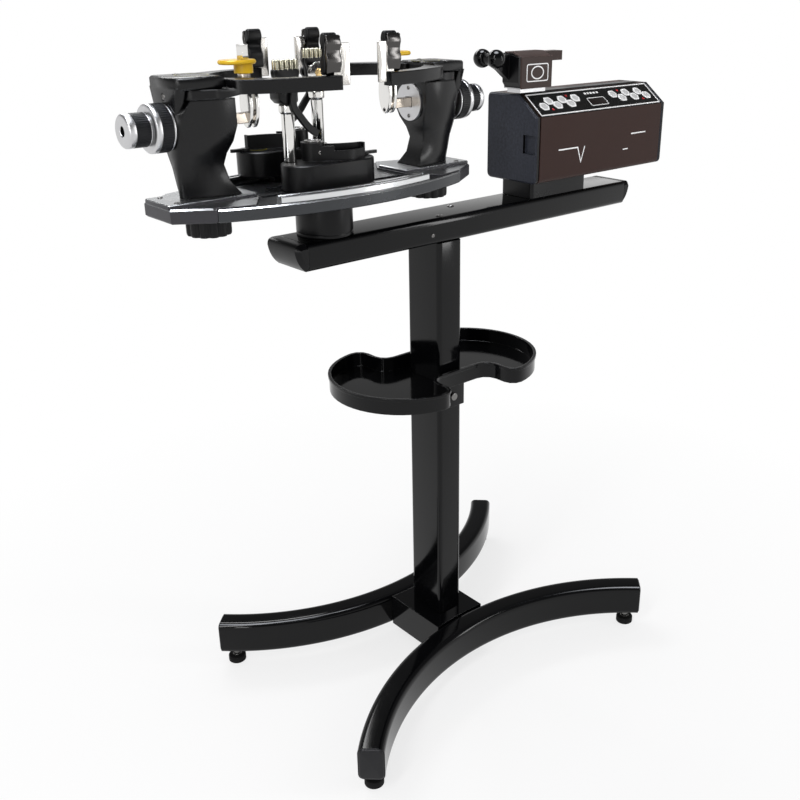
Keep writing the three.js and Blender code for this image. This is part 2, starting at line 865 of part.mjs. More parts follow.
// The left arm on the +Y side: a crescent that swings about its pin under the cover, deep at its root
function arm() {
  const shape = new THREE.Shape();
  const at = ([distance, across]) => new THREE.Vector2(-distance * postOuter, across * armReach);
  const outerEdge = armOuterShares.map(at);
  const innerEdge = armInnerShares.map(at);
  shape.absarc(-armPinX, armPinY, armRootRadius, -Math.PI / 2, Math.PI / 2, true);
  const [outerStart, ...outerRest] = outerEdge;
  const [innerStart, ...innerRest] = innerEdge;
  shape.lineTo(outerStart.x, outerStart.y);
  shape.splineThru(outerRest);
  shape.lineTo(innerStart.x, innerStart.y);
  shape.splineThru(innerRest);
  const whole = solid(raise(shape, postShoulder + seat, armTop, 0, edgeSteps * 3));
  const underCover = block(
    [-postOuter - overrun, -armTallInner],
    [-postHalfWidth * 2, postHalfWidth * 4],
    [coverBottom - seat, armTop + overrun],
  );
  const below = new THREE.Shape();
  const underside = armTop - armEndThickness;
  below.moveTo(overrun, postShoulder - overrun);
  below.lineTo(overrun, underside);
  below.lineTo(-armSlopeStart, underside);
  below.lineTo(-armSlopeEnd, postShoulder + seat);
  below.lineTo(-armSlopeEnd, postShoulder - overrun);
  const underEnd = solid(carryY(below, 0, postHalfWidth * 4));
  const hole = solid(rod(armPinRadius + running, postShoulder - overrun, armTop, smallSides)
    .translate(-armPinX, armPinY, 0));
  return whole.subtract(underCover).subtract(underEnd).subtract(hole);
}

const armEnd = armOuterShares[armOuterShares.length - 1][0] * postOuter;
const clawNear = -armEnd + clawOverhang;
const clawFar = clawNear - clawLength;

// The pad's face toward the racket, from its foot up, and its back, from the top down.
// Each point is a share of the pad's depth and of the claw's height.
const padFaceShares = [[0, 0.06], [0, 0.36], [clawNotchDepthShare, clawNotchShare], [0, 0.78], [0.12, 0.93], [0.45, 1]];
const padBackShares = [[0.9, 0.96], [1, 0.8], [0.78, clawNotchShare], [1, 0.34], [0.85, 0]];
const backOuterShares = [[0.5, 0.16], [0.95, 0.36], [0.45, 0.58], [0.95, 0.8], [0.5, 0.94]];

function clawPad() {
  const base = armTop + seat;
  const at = ([depth, height]) =>
    new THREE.Vector2(clawInnerY + clawPadDepth * depth, base + clawHeight * height);
  const shape = new THREE.Shape([...padFaceShares, ...padBackShares].map(at));
  return solid(carryX(shape, clawFar, clawNear, 0, clawSteps));
}

// The polished backing of a pad, with the flat bar that hangs past the arm's end
function clawBack() {
  const base = armTop + seat;
  const front = padBackShares.slice(1).reverse().map(([depth, height]) =>
    new THREE.Vector2(clawInnerY + clawPadDepth * depth + seat, base + clawHeight * height));
  const behind = backOuterShares.slice().reverse().map(([depth, height]) =>
    new THREE.Vector2(clawInnerY + clawPadDepth + seat + clawBackDepth * depth, base + clawHeight * height));
  const shape = new THREE.Shape([...front, ...behind]);
  const body = solid(carryX(shape, clawFar, clawNear, 0, clawSteps));
  const barY = clawInnerY + clawPadDepth + seat;
  const bar = block(
    [clawNear, clawNear + clawBarWidth],
    [barY, barY + clawBarThickness],
    [armTop - clawBarDrop, base + clawHeight * clawBarTopShare],
  );
  const tie = block(
    [clawFar + clawLength / 2, clawNear + clawOverhang],
    [barY, barY + clawBarThickness],
    [base, base + clawHeight * clawBarTopShare],
  );
  return join(body, tie, bar);
}

// Knobs are made upright about Z from the post's face and then laid outward
function bigKnob() {
  const gripStart = knobFlange + knobRing;
  const gripEnd = bigKnobLength - knobRing;
  const rings = solid(turned([
    [0, seat],
    [bigKnobRadius - knobFlangeInset, seat],
    [bigKnobRadius - knobFlangeInset, knobFlange],
    [bigKnobRadius - knobChamfer / 2, knobFlange],
    [bigKnobRadius - knobChamfer / 2, gripStart],
    [bigKnobRadius - knobChamfer, gripStart],
    [bigKnobRadius - knobChamfer, gripEnd],
    [bigKnobRadius, gripEnd],
    [bigKnobRadius, bigKnobLength - knobChamfer],
    [bigKnobRadius - knobChamfer, bigKnobLength],
    [0, bigKnobLength],
  ], fineSides));
  const grip = solid(raise(fluted(bigKnobRadius, bigKnurls, knurlDepthShare, edgeSteps), gripStart - seat, gripEnd + seat));
  const bore = solid(rod(knobShaftRadius + running, -overrun, bigKnobLength + overrun));
  return join(rings, grip).subtract(bore);
}

function smallKnob() {
  const start = bigKnobLength + seat;
  const end = bigKnobLength + smallKnobLength;
  const rings = solid(turned([
    [0, start],
    [smallKnobRadius - knobChamfer, start],
    [smallKnobRadius, start + knobChamfer / 2],
    [smallKnobRadius, start + knobRing],
    [smallKnobRadius - knobChamfer, start + knobRing],
    [smallKnobRadius - knobChamfer, end - knobRing],
    [smallKnobRadius, end - knobRing],
    [smallKnobRadius - knobChamfer, end],
    [0, end],
  ], roundSides));
  const grip = solid(raise(
    fluted(smallKnobRadius, smallKnurls, knurlDepthShare, edgeSteps), start + knobRing / 2, end - knobRing / 2,
  ));
  const shaft = solid(rod(knobShaftRadius, -knobShaftReach, start + knobRing));
  const socket = solid(rod(socketRadius, end - socketDepth, end + overrun, smallSides));
  return join(rings, grip, shaft).subtract(socket);
}

function knobOnPost(upright) {
  const turn = new THREE.Matrix4().makeRotationY(-Math.PI / 2);
  const geometry = geometryOf(upright).applyMatrix4(turn);
  return solid(geometry.translate(-postOuter, 0, knobZ));
}

// The square bar, twin oval plates and threaded pin that carry a centre support pad
function support() {
  const inside = postOuter - postDepth;
  const bar = block(
    [-inside - barInsidePost, -supportX],
    [-barSize / 2, barSize / 2],
    [barZ - barSize / 2, barZ + barSize / 2],
  );
  const oval = new THREE.Shape();
  oval.absellipse(0, plateZ, supportPlateWidth, supportPlateHeight, 0, 2 * Math.PI);
  const plates = [-1, 1].map((side) => {
    const near = -supportX + side * (supportPlateGap / 2);
    const far = -supportX + side * (supportPlateGap / 2 + supportPlateThickness);
    return solid(carryX(oval, Math.min(near, far), Math.max(near, far), plateEdge / 2, arcSteps * 4));
  });
  const hub = solid(layOutward(rod(supportHubRadius, -supportPlateGap, supportPlateGap, roundSides))
    .translate(-supportX, 0, barZ));
  const plateTip = plateZ + supportPlateHeight;
  const pin = solid(rod(
    supportPinRadius, plateTip - supportPlateThickness * 2, padBottom + padHeight + supportNutHeight, smallSides,
  ).translate(-supportPinX, 0, 0));
  const shoulder = solid(rod(supportNutRadius, plateTip - supportPlateThickness, padBottom - seat, smallSides)
    .translate(-supportPinX, 0, 0));
  const nutBottom = padBottom + padHeight + seat;
  const nut = solid(rod(supportNutRadius, nutBottom, nutBottom + supportNutHeight, smallSides / 2)
    .translate(-supportPinX, 0, 0));
  return join(bar, ...plates, hub, pin, shoulder, nut);
}

// The nylon support under the racket head, a collar with a round shelf toward the post
function supportPad() {
  const top = padBottom + padHeight;
  const collar = solid(rod(padRadius, padBottom, top, roundSides).translate(-supportPinX, 0, 0));
  const shelfShape = racetrack(-supportPinX - padFlangeOffset, -supportPinX, 0, padFlangeRadius);
  const shelf = solid(raise(shelfShape, top - padFlangeHeight, top, plateEdge));
  const bore = solid(rod(supportPinRadius + running, padBottom - overrun, top + overrun, smallSides)
    .translate(-supportPinX, 0, 0));
  return join(collar, shelf).subtract(bore);
}

// The hub and the crescent dish that stand on a clamp base, the dish's front wall lower than its back
function dish() {
  const hub = solid(rod(hubRadius, clampBaseTop - clampEdge, clampBaseTop + hubHeight).translate(hubX, hubY, 0));
  const outline = (inset) => {
    const shape = new THREE.Shape();
    shape.moveTo(hubX, hubY - hubRadius + inset);
    shape.quadraticCurveTo((hubX + dishEnd) / 2, dishBulge + inset, dishEnd - inset, dishEndFront + inset / 2);
    shape.lineTo(dishEnd - inset, dishEndBack - inset / 2);
    shape.quadraticCurveTo((hubX + dishEnd) / 2, dishHollow - inset, hubX, hubY + hubRadius - inset);
    return shape;
  };
  const top = clampBaseTop + dishHeight;
  const crescent = solid(raise(outline(0), clampBaseTop - clampEdge, top, 0, clawSteps));
  const hollow = solid(raise(outline(dishWall), clampBaseTop + dishFloor, top + overrun, 0, clawSteps));
  const frontCut = block(
    [hubX + hubRadius, dishEnd - dishWall],
    [dishBulge, dishEndFront + dishWall],
    [clampBaseTop + dishFrontHeight, top + overrun],
  );
  return join(crescent.subtract(hollow).subtract(frontCut), hub);
}

// A clamp base with its tongue in a groove of the plate. A raised base needs a longer tongue.
function clampBase(tongueY, raised) {
  const bottom = plateTop + seat;
  const body = solid(raise(
    racetrack(-clampBaseHalfLength, clampBaseHalfLength, 0, clampBaseRadius), bottom, clampBaseTop, clampEdge,
  ));
  const tongue = block(
    [-tongueLength / 2, tongueLength / 2],
    [tongueY - tongueWidth / 2, tongueY + tongueWidth / 2],
    [plateTop - tongueDepth - raised, bottom + clampEdge * 2],
  );
  return join(body, dish(), tongue);
}

function latch() {
  const disc = solid(rod(latchRadius, clampBaseTop + seat, clampBaseTop + latchHeight, smallSides));
  const blade = solid(raise(
    racetrack(0, latchLength, 0, latchWidth / 2), clampBaseTop + seat, clampBaseTop + latchHeight, 0, clawSteps,
  ));
  return join(disc, blade).translate(latchX, latchY, 0);
}

// Clamp pieces are made about the post's own axis, with the lever on the -Y side
function clampPost() {
  const collarBottom = clampPostTop - clampCollarHeight;
  return solid(turned([
    [0, clampBaseTop + seat],
    [clampPostRadius, clampBaseTop + seat],
    [clampPostRadius, collarBottom - clampEdge],
    [clampCollarRadius, collarBottom],
    [clampCollarRadius, clampPostTop - clampEdge],
    [clampCollarRadius - clampEdge, clampPostTop],
    [0, clampPostTop],
  ], roundSides));
}

// A jaw plate drawn in X and Z: narrow at its foot, wide at the top and cut into teeth
function jawShape(bottom) {
  const shape = new THREE.Shape();
  const shoulder = jawTop - toothHeight * 1.5;
  shape.moveTo(-jawHalfWidthLow, bottom);
  shape.lineTo(jawHalfWidthLow, bottom);
  shape.quadraticCurveTo(jawHalfWidthLow, shoulder - toothHeight / 2, headHalfLength, shoulder);
  const pitch = (headHalfLength * 2) / jawTeeth;
  const root = jawTop - toothHeight;
  for (let i = 0; i < jawTeeth; i += 1) {
    const right = headHalfLength - i * pitch;
    const left = right - pitch * toothWidthShare;
    shape.lineTo(right, jawTop);
    shape.lineTo(left, jawTop);
    shape.lineTo(left - clampEdge / 2, root);
    shape.lineTo(right - pitch + clampEdge / 4, root);
  }
  shape.lineTo(-headHalfLength, shoulder);
  shape.quadraticCurveTo(-jawHalfWidthLow, shoulder - toothHeight / 2, -jawHalfWidthLow, bottom);
  return shape;
}

const headBottom = clampPostTop + seat;
const headBlockTop = headBottom + headBlockHeight;
const camNear = headBlockHalfWidth + seat;

// The bore for the cam shaft through both jaws
function shaftBore() {
  return crossRod(camShaftRadius + running, -camNear - overrun, camNear + overrun, camX, camZ);
}

// The head block, faceted below, with the fixed jaw
function clampHead() {
  const facet = new THREE.Shape();
  facet.moveTo(-headHalfLength + headBlockFacet, headBottom);
  facet.lineTo(headBlockRight - headBlockFacet / 2, headBottom);
  facet.lineTo(headBlockRight, headBottom + headBlockFacet / 2);
  facet.lineTo(headBlockRight, headBlockTop);
  facet.lineTo(-headHalfLength, headBlockTop);
  facet.lineTo(-headHalfLength, headBottom + headBlockFacet);
  const lump = solid(carryY(facet, -headBlockHalfWidth, headBlockHalfWidth, clampEdge));
  const jaw = solid(carryY(jawShape(headBlockTop - clampEdge), -jawGap / 2 - jawThickness, -jawGap / 2, 0, clawSteps));
  return join(lump, jaw).subtract(shaftBore());
}

function movingJaw() {
  const jaw = solid(carryY(jawShape(headBlockTop + seat), jawGap / 2, jawGap / 2 + jawThickness, 0, clawSteps));
  return jaw.subtract(shaftBore());
}

// The half disc cam on one side of the head, its shaft, and the bowed lever on the other side
function camLever() {
  const half = new THREE.Shape();
  half.absarc(0, 0, camRadius, -Math.PI / 8, Math.PI * 1.125, false);
  const cam = solid(carryY(half, camNear, camNear + camThickness)).translate(camX, 0, camZ);
  const shaft = crossRod(camShaftRadius, -camNear - leverThickness, camNear + camThickness, camX, camZ);
  const hub = crossRod(leverHubRadius, -camNear - leverThickness, -camNear, camX, camZ, roundSides);
  const line = leverLineShares.map(([reach, drop]) =>
    new THREE.Vector2(camX + reach * leverReach, camZ - drop * leverDrop));
  const edge = (side) => line.map((point, i) => {
    const before = line[Math.max(i - 1, 0)];
    const after = line[Math.min(i + 1, line.length - 1)];
    const along = after.clone().sub(before).normalize();
    return new THREE.Vector2(-along.y, along.x).multiplyScalar(side * leverWidth / 2).add(point);
  });
  const bow = new THREE.Shape();
  const [first, ...rest] = edge(1);
  const back = edge(-1).reverse();
  bow.moveTo(first.x, first.y);
  bow.splineThru(rest);
  bow.lineTo(back[0].x, back[0].y);
  bow.splineThru(back.slice(1));
  const lever = solid(carryY(bow, -camNear - leverThickness, -camNear, plateEdge / 2, leverSteps));
  return join(cam, shaft, hub, lever);
}

// The tension box's cross section in Y and Z, with the sloping panel on the operator's side
function boxSection(inset) {
  const y0 = -boxHalfWidth + inset;
  const y1 = boxHalfWidth - inset;
  const z0 = boxBottom + inset;
  const z1 = boxBottom + boxHeight - inset;
  const r = boxCorner;
  const shape = new THREE.Shape();
  shape.moveTo(y0 + r, z0);
  shape.lineTo(y1 - r, z0);
  shape.quadraticCurveTo(y1, z0, y1, z0 + r);
  shape.lineTo(y1, z1 - r);
  shape.quadraticCurveTo(y1, z1, y1 - r, z1);
  shape.lineTo(y0 + boxChamferRun, z1);
  shape.lineTo(y0, z1 - boxChamferDrop);
  shape.lineTo(y0, z0 + r);
  shape.quadraticCurveTo(y0, z0, y0 + r, z0);
  return shape;
}

// The housing's shell, a bent sheet that the two end caps close, with the track of the tension head
function boxHousing() {
  const left = boxLeft + boxCapThickness + seat;
  const right = boxRight - boxCapThickness - seat;
  const shell = solid(carryX(boxSection(0), left, right, 0, clawSteps));
  const room = solid(carryX(boxSection(boxWall), left - overrun, right + overrun, 0, clawSteps));
  const top = boxBottom + boxHeight;
  const track = block(
    [boxLeft + boxCapThickness + trackInset, boxRight - boxCapThickness - trackInset],
    [-trackHalfWidth, trackHalfWidth],
    [top - trackHeight / 2, top + trackHeight],
  );
  const inletX0 = inletX - inletWidth / 2;
  const inletZ0 = inletZ - inletHeight / 2;
  const inside = boxHalfWidth - inletDepth;
  const shroud = block(
    [inletX0 - boxWall, inletX0 + inletWidth + boxWall],
    [inside - boxWall, boxHalfWidth - boxWall / 2],
    [inletZ0 - boxWall, inletZ0 + inletHeight + boxWall],
  );
  const inlet = block(
    [inletX0, inletX0 + inletWidth],
    [inside, boxHalfWidth + overrun],
    [inletZ0, inletZ0 + inletHeight],
  );
  return join(shell.subtract(room), track, shroud).subtract(inlet);
}

function leftBoxCap() {
  const cap = solid(carryX(boxSection(0), boxLeft, boxLeft + boxCapThickness, boxEdge, clawSteps));
  const recess = block(
    [boxLeft - overrun, boxLeft + recessDepth],
    [recessY, recessY + recessWidth],
    [recessZ, recessZ + recessHeight],
  );
  return cap.subtract(recess);
}

function rightBoxCap() {
  return solid(carryX(boxSection(0), boxRight - boxCapThickness, boxRight, boxEdge, clawSteps));
}

// The channel that the box stands on
function pedestal() {
  const bottom = beamBottom + beamHeight + seat;
  const top = boxBottom - seat;
  const outline = (inset) => rectangle(
    pedestalLeft + inset, pedestalRight - inset,
    -pedestalHalfWidth + inset, pedestalHalfWidth - inset, beamEdge - inset,
  );
  const channel = solid(raise(outline(0), bottom, top, 0, edgeSteps));
  return channel.subtract(solid(raise(outline(tubeWall), bottom - overrun, top + overrun, 0, edgeSteps)));
}

// The carriage that pulls the string: a sloping body with a wing, on a slide block, and the bracket
// that holds the spool
function tensionHead() {
  const bottom = boxBottom + boxHeight + trackHeight + seat;
  const bodyBottom = bottom + headFootHeight;
  const section = new THREE.Shape();
  section.moveTo(headFront, bodyBottom);
  section.lineTo(headBack, bodyBottom);
  section.lineTo(headBack, headTop);
  section.lineTo(headFront + headSlopeDepth, headTop);
  section.lineTo(headFront, headTop - headFrontDrop);
  const lump = solid(carryX(section, headLeft, headRight, headEdge, edgeSteps));
  const wing = block(
    [headRight - headEdge * 2, headRight + wingLength],
    [wingFront, headBack - headEdge],
    [headTop - wingHeight, headTop - headEdge],
  );
  const slide = block(
    [headLeft + headFootInset, headRight - headFootInset],
    [headFront + headFootInset, headBack - headEdge],
    [bottom, bodyBottom + headEdge],
  );
  const plate = wedge([
    [headLeft - bracketPlate, headFront + headEdge, bodyBottom + bracketTaper],
    [headLeft - bracketPlate, headBack - headEdge, bodyBottom + bracketTaper],
    [headLeft - bracketPlate, headFront + headEdge, headTop - headFrontDrop],
    [headLeft - bracketPlate, headBack - headEdge, headTop - headEdge],
    [headLeft + headEdge, headFront + headEdge, bodyBottom + headEdge],
    [headLeft + headEdge, headBack - headEdge, bodyBottom + headEdge],
    [headLeft + headEdge, headFront + headEdge, headTop - headFrontDrop],
    [headLeft + headEdge, headBack - headEdge, headTop - headEdge],
  ]);
  const web = new THREE.Shape();
  web.moveTo(headLeft, bodyBottom + bracketTaper);
  web.lineTo(headLeft, headTop - headEdge * 2);
  web.lineTo(spoolX + bossRadius * 2, headTop - headEdge * 2);
  web.lineTo(spoolX, spoolZ + bossRadius);
  web.lineTo(spoolX, spoolZ - bossRadius);
  web.lineTo(spoolX + bossRadius * 2, spoolZ - bossRadius * 2);
  const bracket = solid(carryY(web, -bracketThickness / 2, bracketThickness / 2));
  const boss = crossRod(bossRadius, -bracketThickness / 2, bracketThickness / 2, spoolX, spoolZ, roundSides);
  const bore = crossRod(axleRadius + running, -bracketThickness, bracketThickness, spoolX, spoolZ);
  return join(lump, wing, slide, plate, bracket, boss).subtract(bore);
}

// Two ball rollers on one axle, with a neck inside each ball
function ballSpool() {
  const axle = solid(rod(axleRadius, -ballOffset, ballOffset, smallSides));
  const balls = [-1, 1].map((side) => {
    const ball = new THREE.SphereGeometry(ballRadius, roundSides, clawSteps * 2).rotateX(Math.PI / 2);
    return solid(ball.translate(0, 0, side * ballOffset));
  });
  const gap = bracketThickness / 2 + seat;
  const necks = [-1, 1].map((side) => solid(rod(
    spoolNeckRadius, Math.min(side * gap, side * ballOffset), Math.max(side * gap, side * ballOffset), smallSides,
  )));
  const middle = block([-ballRadius, ballRadius], [-ballRadius, ballRadius], [-gap, gap]);
  const whole = join(...balls).subtract(middle).add(axle);
  const turn = new THREE.Matrix4().makeRotationX(-Math.PI / 2).setPosition(spoolX, 0, spoolZ);
  return solid(geometryOf(join(whole, ...necks)).applyMatrix4(turn));
}

// Assembly
const machine = new THREE.Group();
machine.name = "stringing_machine";

function turnedGroup(x, y, angle) {
  const group = new THREE.Group();
  group.position.set(x, y, 0);
  group.rotation.z = angle;
  machine.add(group);
  return group;
}

function placed(name, shape, material, x, y, z = 0) {
  const mesh = piece(name, shape, material, machine);
  mesh.position.set(x, y, z);
}

// Stand
piece("front_leg_arc", legArc(), glossBlack, machine);
piece("back_leg_arc", legArc(), glossBlack, turnedGroup(0, 0, Math.PI));
const footAngle = radians(legHalfAngle) - footInset / legRadius;
const footX = legRadius * Math.sin(footAngle);
const footY = legCentreY - legRadius * Math.cos(footAngle);
placed("foot_front_left", foot(), rubberBlack, -footX, -footY);
placed("foot_front_right", foot(), rubberBlack, footX, -footY);
placed("foot_back_left", foot(), rubberBlack, -footX, footY);
placed("foot_back_right", foot(), rubberBlack, footX, footY);
piece("leg_bridge", bridge(), glossBlack, machine);
piece("column", column(), satinBlack, machine);
piece("tool_tray", tray(), glossBlack, machine);
piece("beam", beam(), satinBlack, machine);
placed("beam_cap_right", beamCap(), plasticBlack, beamRight, 0, beamBottom);
const leftCapGroup = turnedGroup(beamLeft, 0, Math.PI);
piece("beam_cap_left", beamCap(), plasticBlack, leftCapGroup).position.z = beamBottom;

// Turntable
placed("turntable_bearing", turret(), satinBlack, pivotX, 0);
placed("turntable_plate", turntablePlate(), anodised, pivotX, 0);
placed("rail_back", backRail(), aluminium, pivotX, 0);
piece("rail_front", backRail(), aluminium, turnedGroup(pivotX, 0, Math.PI));

// Both ends of the turntable
for (const [side, angle] of [["left", 0], ["right", Math.PI]]) {
  const end = turnedGroup(pivotX, 0, angle);
  const plus = angle === 0 ? "back" : "front";
  const minus = angle === 0 ? "front" : "back";
  const slid = new THREE.Group();
  slid.position.x = side === "right" ? -rightPostOut : 0;
  end.add(slid);
  const mirrored = new THREE.Group();
  mirrored.scale.y = -1;
  slid.add(mirrored);
  piece("nose_" + side, nose(), plasticBlack, end);
  piece("lock_knob_" + side, lockKnob(), plasticBlack, slid);
  piece("post_" + side, post(), satinBlack, slid);
  piece("claw_knob_" + side, knobOnPost(bigKnob()), aluminium, slid);
  piece("support_knob_" + side, knobOnPost(smallKnob()), aluminium, slid);
  piece("support_" + side, support(), chrome, slid);
  piece("support_pad_" + side, supportPad(), nylonYellow, slid);
  for (const [name, holder] of [[plus, slid], [minus, mirrored]]) {
    piece("arm_" + side + "_" + name, arm(), satinBlack, holder);
    piece("claw_pad_" + side + "_" + name, clawPad(), plasticBlack, holder);
    piece("claw_back_" + side + "_" + name, clawBack(), chrome, holder);
  }
}

// String clamps, the back one turned round and standing on the rail
for (const [name, unit, angle, grooveY] of [
  ["front", frontUnit, 0, grooveFrontY],
  ["back", backUnit, Math.PI, grooveBackY],
]) {
  const raised = angle === 0 ? 0 : railHeight;
  const way = angle === 0 ? 1 : -1;
  const holder = turnedGroup(unit.x, unit.y, angle);
  holder.position.z = raised;
  piece("clamp_base_" + name, clampBase((grooveY - unit.y) * way, raised), satinBlack, holder);
  piece("clamp_latch_" + name, latch(), satinBlack, holder);
  const upper = new THREE.Group();
  upper.position.set(clampPostX, clampPostY, 0);
  holder.add(upper);
  piece("clamp_post_" + name, clampPost(), chrome, upper);
  piece("clamp_head_" + name, clampHead(), plasticBlack, upper);
  piece("clamp_jaw_" + name, movingJaw(), plasticBlack, upper);
  piece("clamp_lever_" + name, camLever(), plasticBlack, upper);
}

// Tension box and head
piece("tension_pedestal", pedestal(), satinBlack, machine);
piece("tension_housing", boxHousing(), housingBrown, machine);
piece("tension_cap_left", leftBoxCap(), housingGrey, machine);
piece("tension_cap_right", rightBoxCap(), housingGrey, machine);
piece("tension_head", tensionHead(), housingBrown, machine);
piece("gripper_spool", ballSpool(), plasticBlack, machine);

export default machine;
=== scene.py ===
# %% [markdown]
# # A floor standing stringing machine
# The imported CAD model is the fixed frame: it says where everything is. Here each visible piece gets a
# finer surface and a finish worked out from formulas. First we load the frame and note its box.

import json
import math

import bpy
import numpy as np
from mathutils import Matrix, Vector


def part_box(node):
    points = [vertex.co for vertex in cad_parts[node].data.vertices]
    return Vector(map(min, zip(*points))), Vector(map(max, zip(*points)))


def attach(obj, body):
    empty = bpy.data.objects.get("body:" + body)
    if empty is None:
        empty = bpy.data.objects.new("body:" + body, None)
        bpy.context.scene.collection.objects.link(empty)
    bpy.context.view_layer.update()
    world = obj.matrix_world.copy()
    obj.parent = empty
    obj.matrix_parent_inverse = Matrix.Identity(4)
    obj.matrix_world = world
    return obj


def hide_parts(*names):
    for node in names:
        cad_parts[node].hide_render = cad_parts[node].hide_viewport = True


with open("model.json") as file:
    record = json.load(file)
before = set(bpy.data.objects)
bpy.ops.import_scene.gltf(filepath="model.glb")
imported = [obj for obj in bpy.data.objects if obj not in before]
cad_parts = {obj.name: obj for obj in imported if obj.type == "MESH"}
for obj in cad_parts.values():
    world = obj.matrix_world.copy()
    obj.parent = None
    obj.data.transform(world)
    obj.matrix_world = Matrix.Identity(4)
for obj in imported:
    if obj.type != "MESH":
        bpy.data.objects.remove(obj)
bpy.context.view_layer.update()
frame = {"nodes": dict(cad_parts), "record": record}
MM = 0.001

# %% [markdown]
# ## The camera
# The photographer stood in front of the left end of the beam and looked down a little. A tracking
# constraint could aim the camera, but place and angles are known, so a rotation matrix made from
# heading, pitch and roll is exact.

# %% Camera
CAMERA_PLACE = Vector((-0.90468, -1.02139, 1.03124))
HEADING = math.radians(42.08)
PITCH = math.radians(22.29)
ROLL = math.radians(0.12)
FOCAL_PIXELS = 962.53
FRAME_PIXELS = 800
SENSOR = 36.0
SHIFT_X, SHIFT_Y = -0.0544, -0.0193
VIEW_END = 60

ahead, down = math.cos(PITCH), math.sin(PITCH)
forward = Vector((math.sin(HEADING) * ahead, math.cos(HEADING) * ahead, -down))
level_right = Vector((math.cos(HEADING), -math.sin(HEADING), 0.0))
right = Matrix.Rotation(ROLL, 3, forward) @ level_right
camera_data = bpy.data.cameras.new("camera")
camera_data.sensor_width = SENSOR
camera_data.lens = SENSOR * FOCAL_PIXELS / FRAME_PIXELS
camera_data.shift_x = SHIFT_X
camera_data.shift_y = SHIFT_Y
camera_data.clip_end = VIEW_END
camera = bpy.data.objects.new("camera", camera_data)
bpy.context.scene.collection.objects.link(camera)
turn = Matrix((right, right.cross(forward), -forward)).transposed()
camera.matrix_world = Matrix.LocRotScale(CAMERA_PLACE, turn, None)
bpy.context.scene.camera = camera
print("camera looks down by", round(math.degrees(PITCH), 2), "degrees")

# %% [markdown]
# ## Small helpers for nodes
# World, floor and paints are node trees. They could be clicked together by hand, but one helper that
# adds a node with its numbers and one that joins sockets keep each tree short.

# %% Node helpers
WHITE = (1, 1, 1, 1)


def set_values(node, values):
    """Sets the numbers of a node's sockets by the sockets' names."""
    for socket, value in values.items():
        node.inputs[socket].default_value = value


def add_node(tree, kind, values=None, **settings):
    """Adds a shader node to a tree, with its settings and the numbers of its sockets."""
    node = tree.nodes.new("ShaderNode" + kind)
    for setting, value in settings.items():
        setattr(node, setting, value)
    set_values(node, values or {})
    return node


def join(tree, *links):
    """Joins sockets of a tree: each link names a node, its output, another node and its input."""
    for start, output, end, into in links:
        tree.links.new(start.outputs[output], end.inputs[into])


print("node helpers ready")

# %% [markdown]
# ## The sky of the studio
# Black paint and chrome show mostly what stands around them, and an all white world would turn the
# paint grey. So for reflections the world is white near the horizon and below and dark overhead, with
# a bright panel straight above that draws a thin line along rounded upper edges. The Light Path node
# tells the rays apart: the camera sees plain white, and soft light comes from a middle grey.

# %% World
HORIZON_GREYS = ((0.1, 1.0), (0.3, 0.5), (0.5, 0.2), (0.75, 0.16))
OVERHEAD = (0.3, 0.31, 0.33, 1)
SOFT_GREY = (0.55, 0.55, 0.56, 1)
PANEL_START, PANEL_FULL, PANEL_STRENGTH = 0.93, 0.97, 60.0

scene = bpy.context.scene
scene.view_settings.view_transform = "Standard"
world = bpy.data.worlds.new("studio")
scene.world = world
world.use_nodes = True
sky = world.node_tree
sky.nodes.clear()
sky_place = add_node(sky, "TexCoord")
sky_split = add_node(sky, "SeparateXYZ")
sky_ramp = add_node(sky, "ValToRGB")
lowest, highest = sky_ramp.color_ramp.elements
lowest.color = WHITE
highest.color = OVERHEAD
for position, grey in HORIZON_GREYS:
    sky_ramp.color_ramp.elements.new(position).color = (grey, grey, grey, 1)
panel = add_node(sky, "MapRange", {
    "From Min": PANEL_START, "From Max": PANEL_FULL, "To Min": 1.0, "To Max": PANEL_STRENGTH,
})
soft_light = add_node(sky, "Background", {"Color": SOFT_GREY})
mirror_light = add_node(sky, "Background")
white_light = add_node(sky, "Background", {"Color": WHITE})
ray = add_node(sky, "LightPath")
shiny_ray = add_node(sky, "Math", operation="MAXIMUM")
pick_mirror = add_node(sky, "MixShader")
pick_white = add_node(sky, "MixShader")
sky_out = add_node(sky, "OutputWorld")
join(
    sky,
    (sky_place, "Generated", sky_split, 0),
    (sky_split, "Z", sky_ramp, 0),
    (sky_split, "Z", panel, "Value"),
    (panel, 0, mirror_light, "Strength"),
    (sky_ramp, 0, mirror_light, "Color"),
    (ray, "Is Glossy Ray", shiny_ray, 0),
    (ray, "Is Transmission Ray", shiny_ray, 1),
    (shiny_ray, 0, pick_mirror, 0),
    (soft_light, 0, pick_mirror, 1),
    (mirror_light, 0, pick_mirror, 2),
    (ray, "Is Camera Ray", pick_white, 0),
    (pick_mirror, 0, pick_white, 1),
    (white_light, 0, pick_white, 2),
    (pick_white, 0, sky_out, 0),
)
print("world nodes:", len(sky.nodes))

# %% [markdown]
# ## Four soft lamps
# Black lacquer shows a lamp as a highlight of its outline. A square lamp would give a blob; a tall
# narrow one draws a long crisp line along a tube. One stands at the left, a weaker one fills from the
# right, a low one puts a gleam on the posts, and a wide one behind draws a bright rim.

# %% Lamps


def add_lamp(name, spot, aim, sides, power):
    """A rectangular area lamp of a power in watts at spot that points at aim; sides are its width and
    height. Places and sides are in metres."""
    data = bpy.data.lights.new(name, "AREA")
    data.shape = "RECTANGLE"
    data.size, data.size_y = sides
    data.energy = power
    lamp = bpy.data.objects.new(name, data)
    scene.collection.objects.link(lamp)
    lamp.location = spot
    lamp.rotation_euler = (Vector(aim) - Vector(spot)).to_track_quat("-Z", "Y").to_euler()


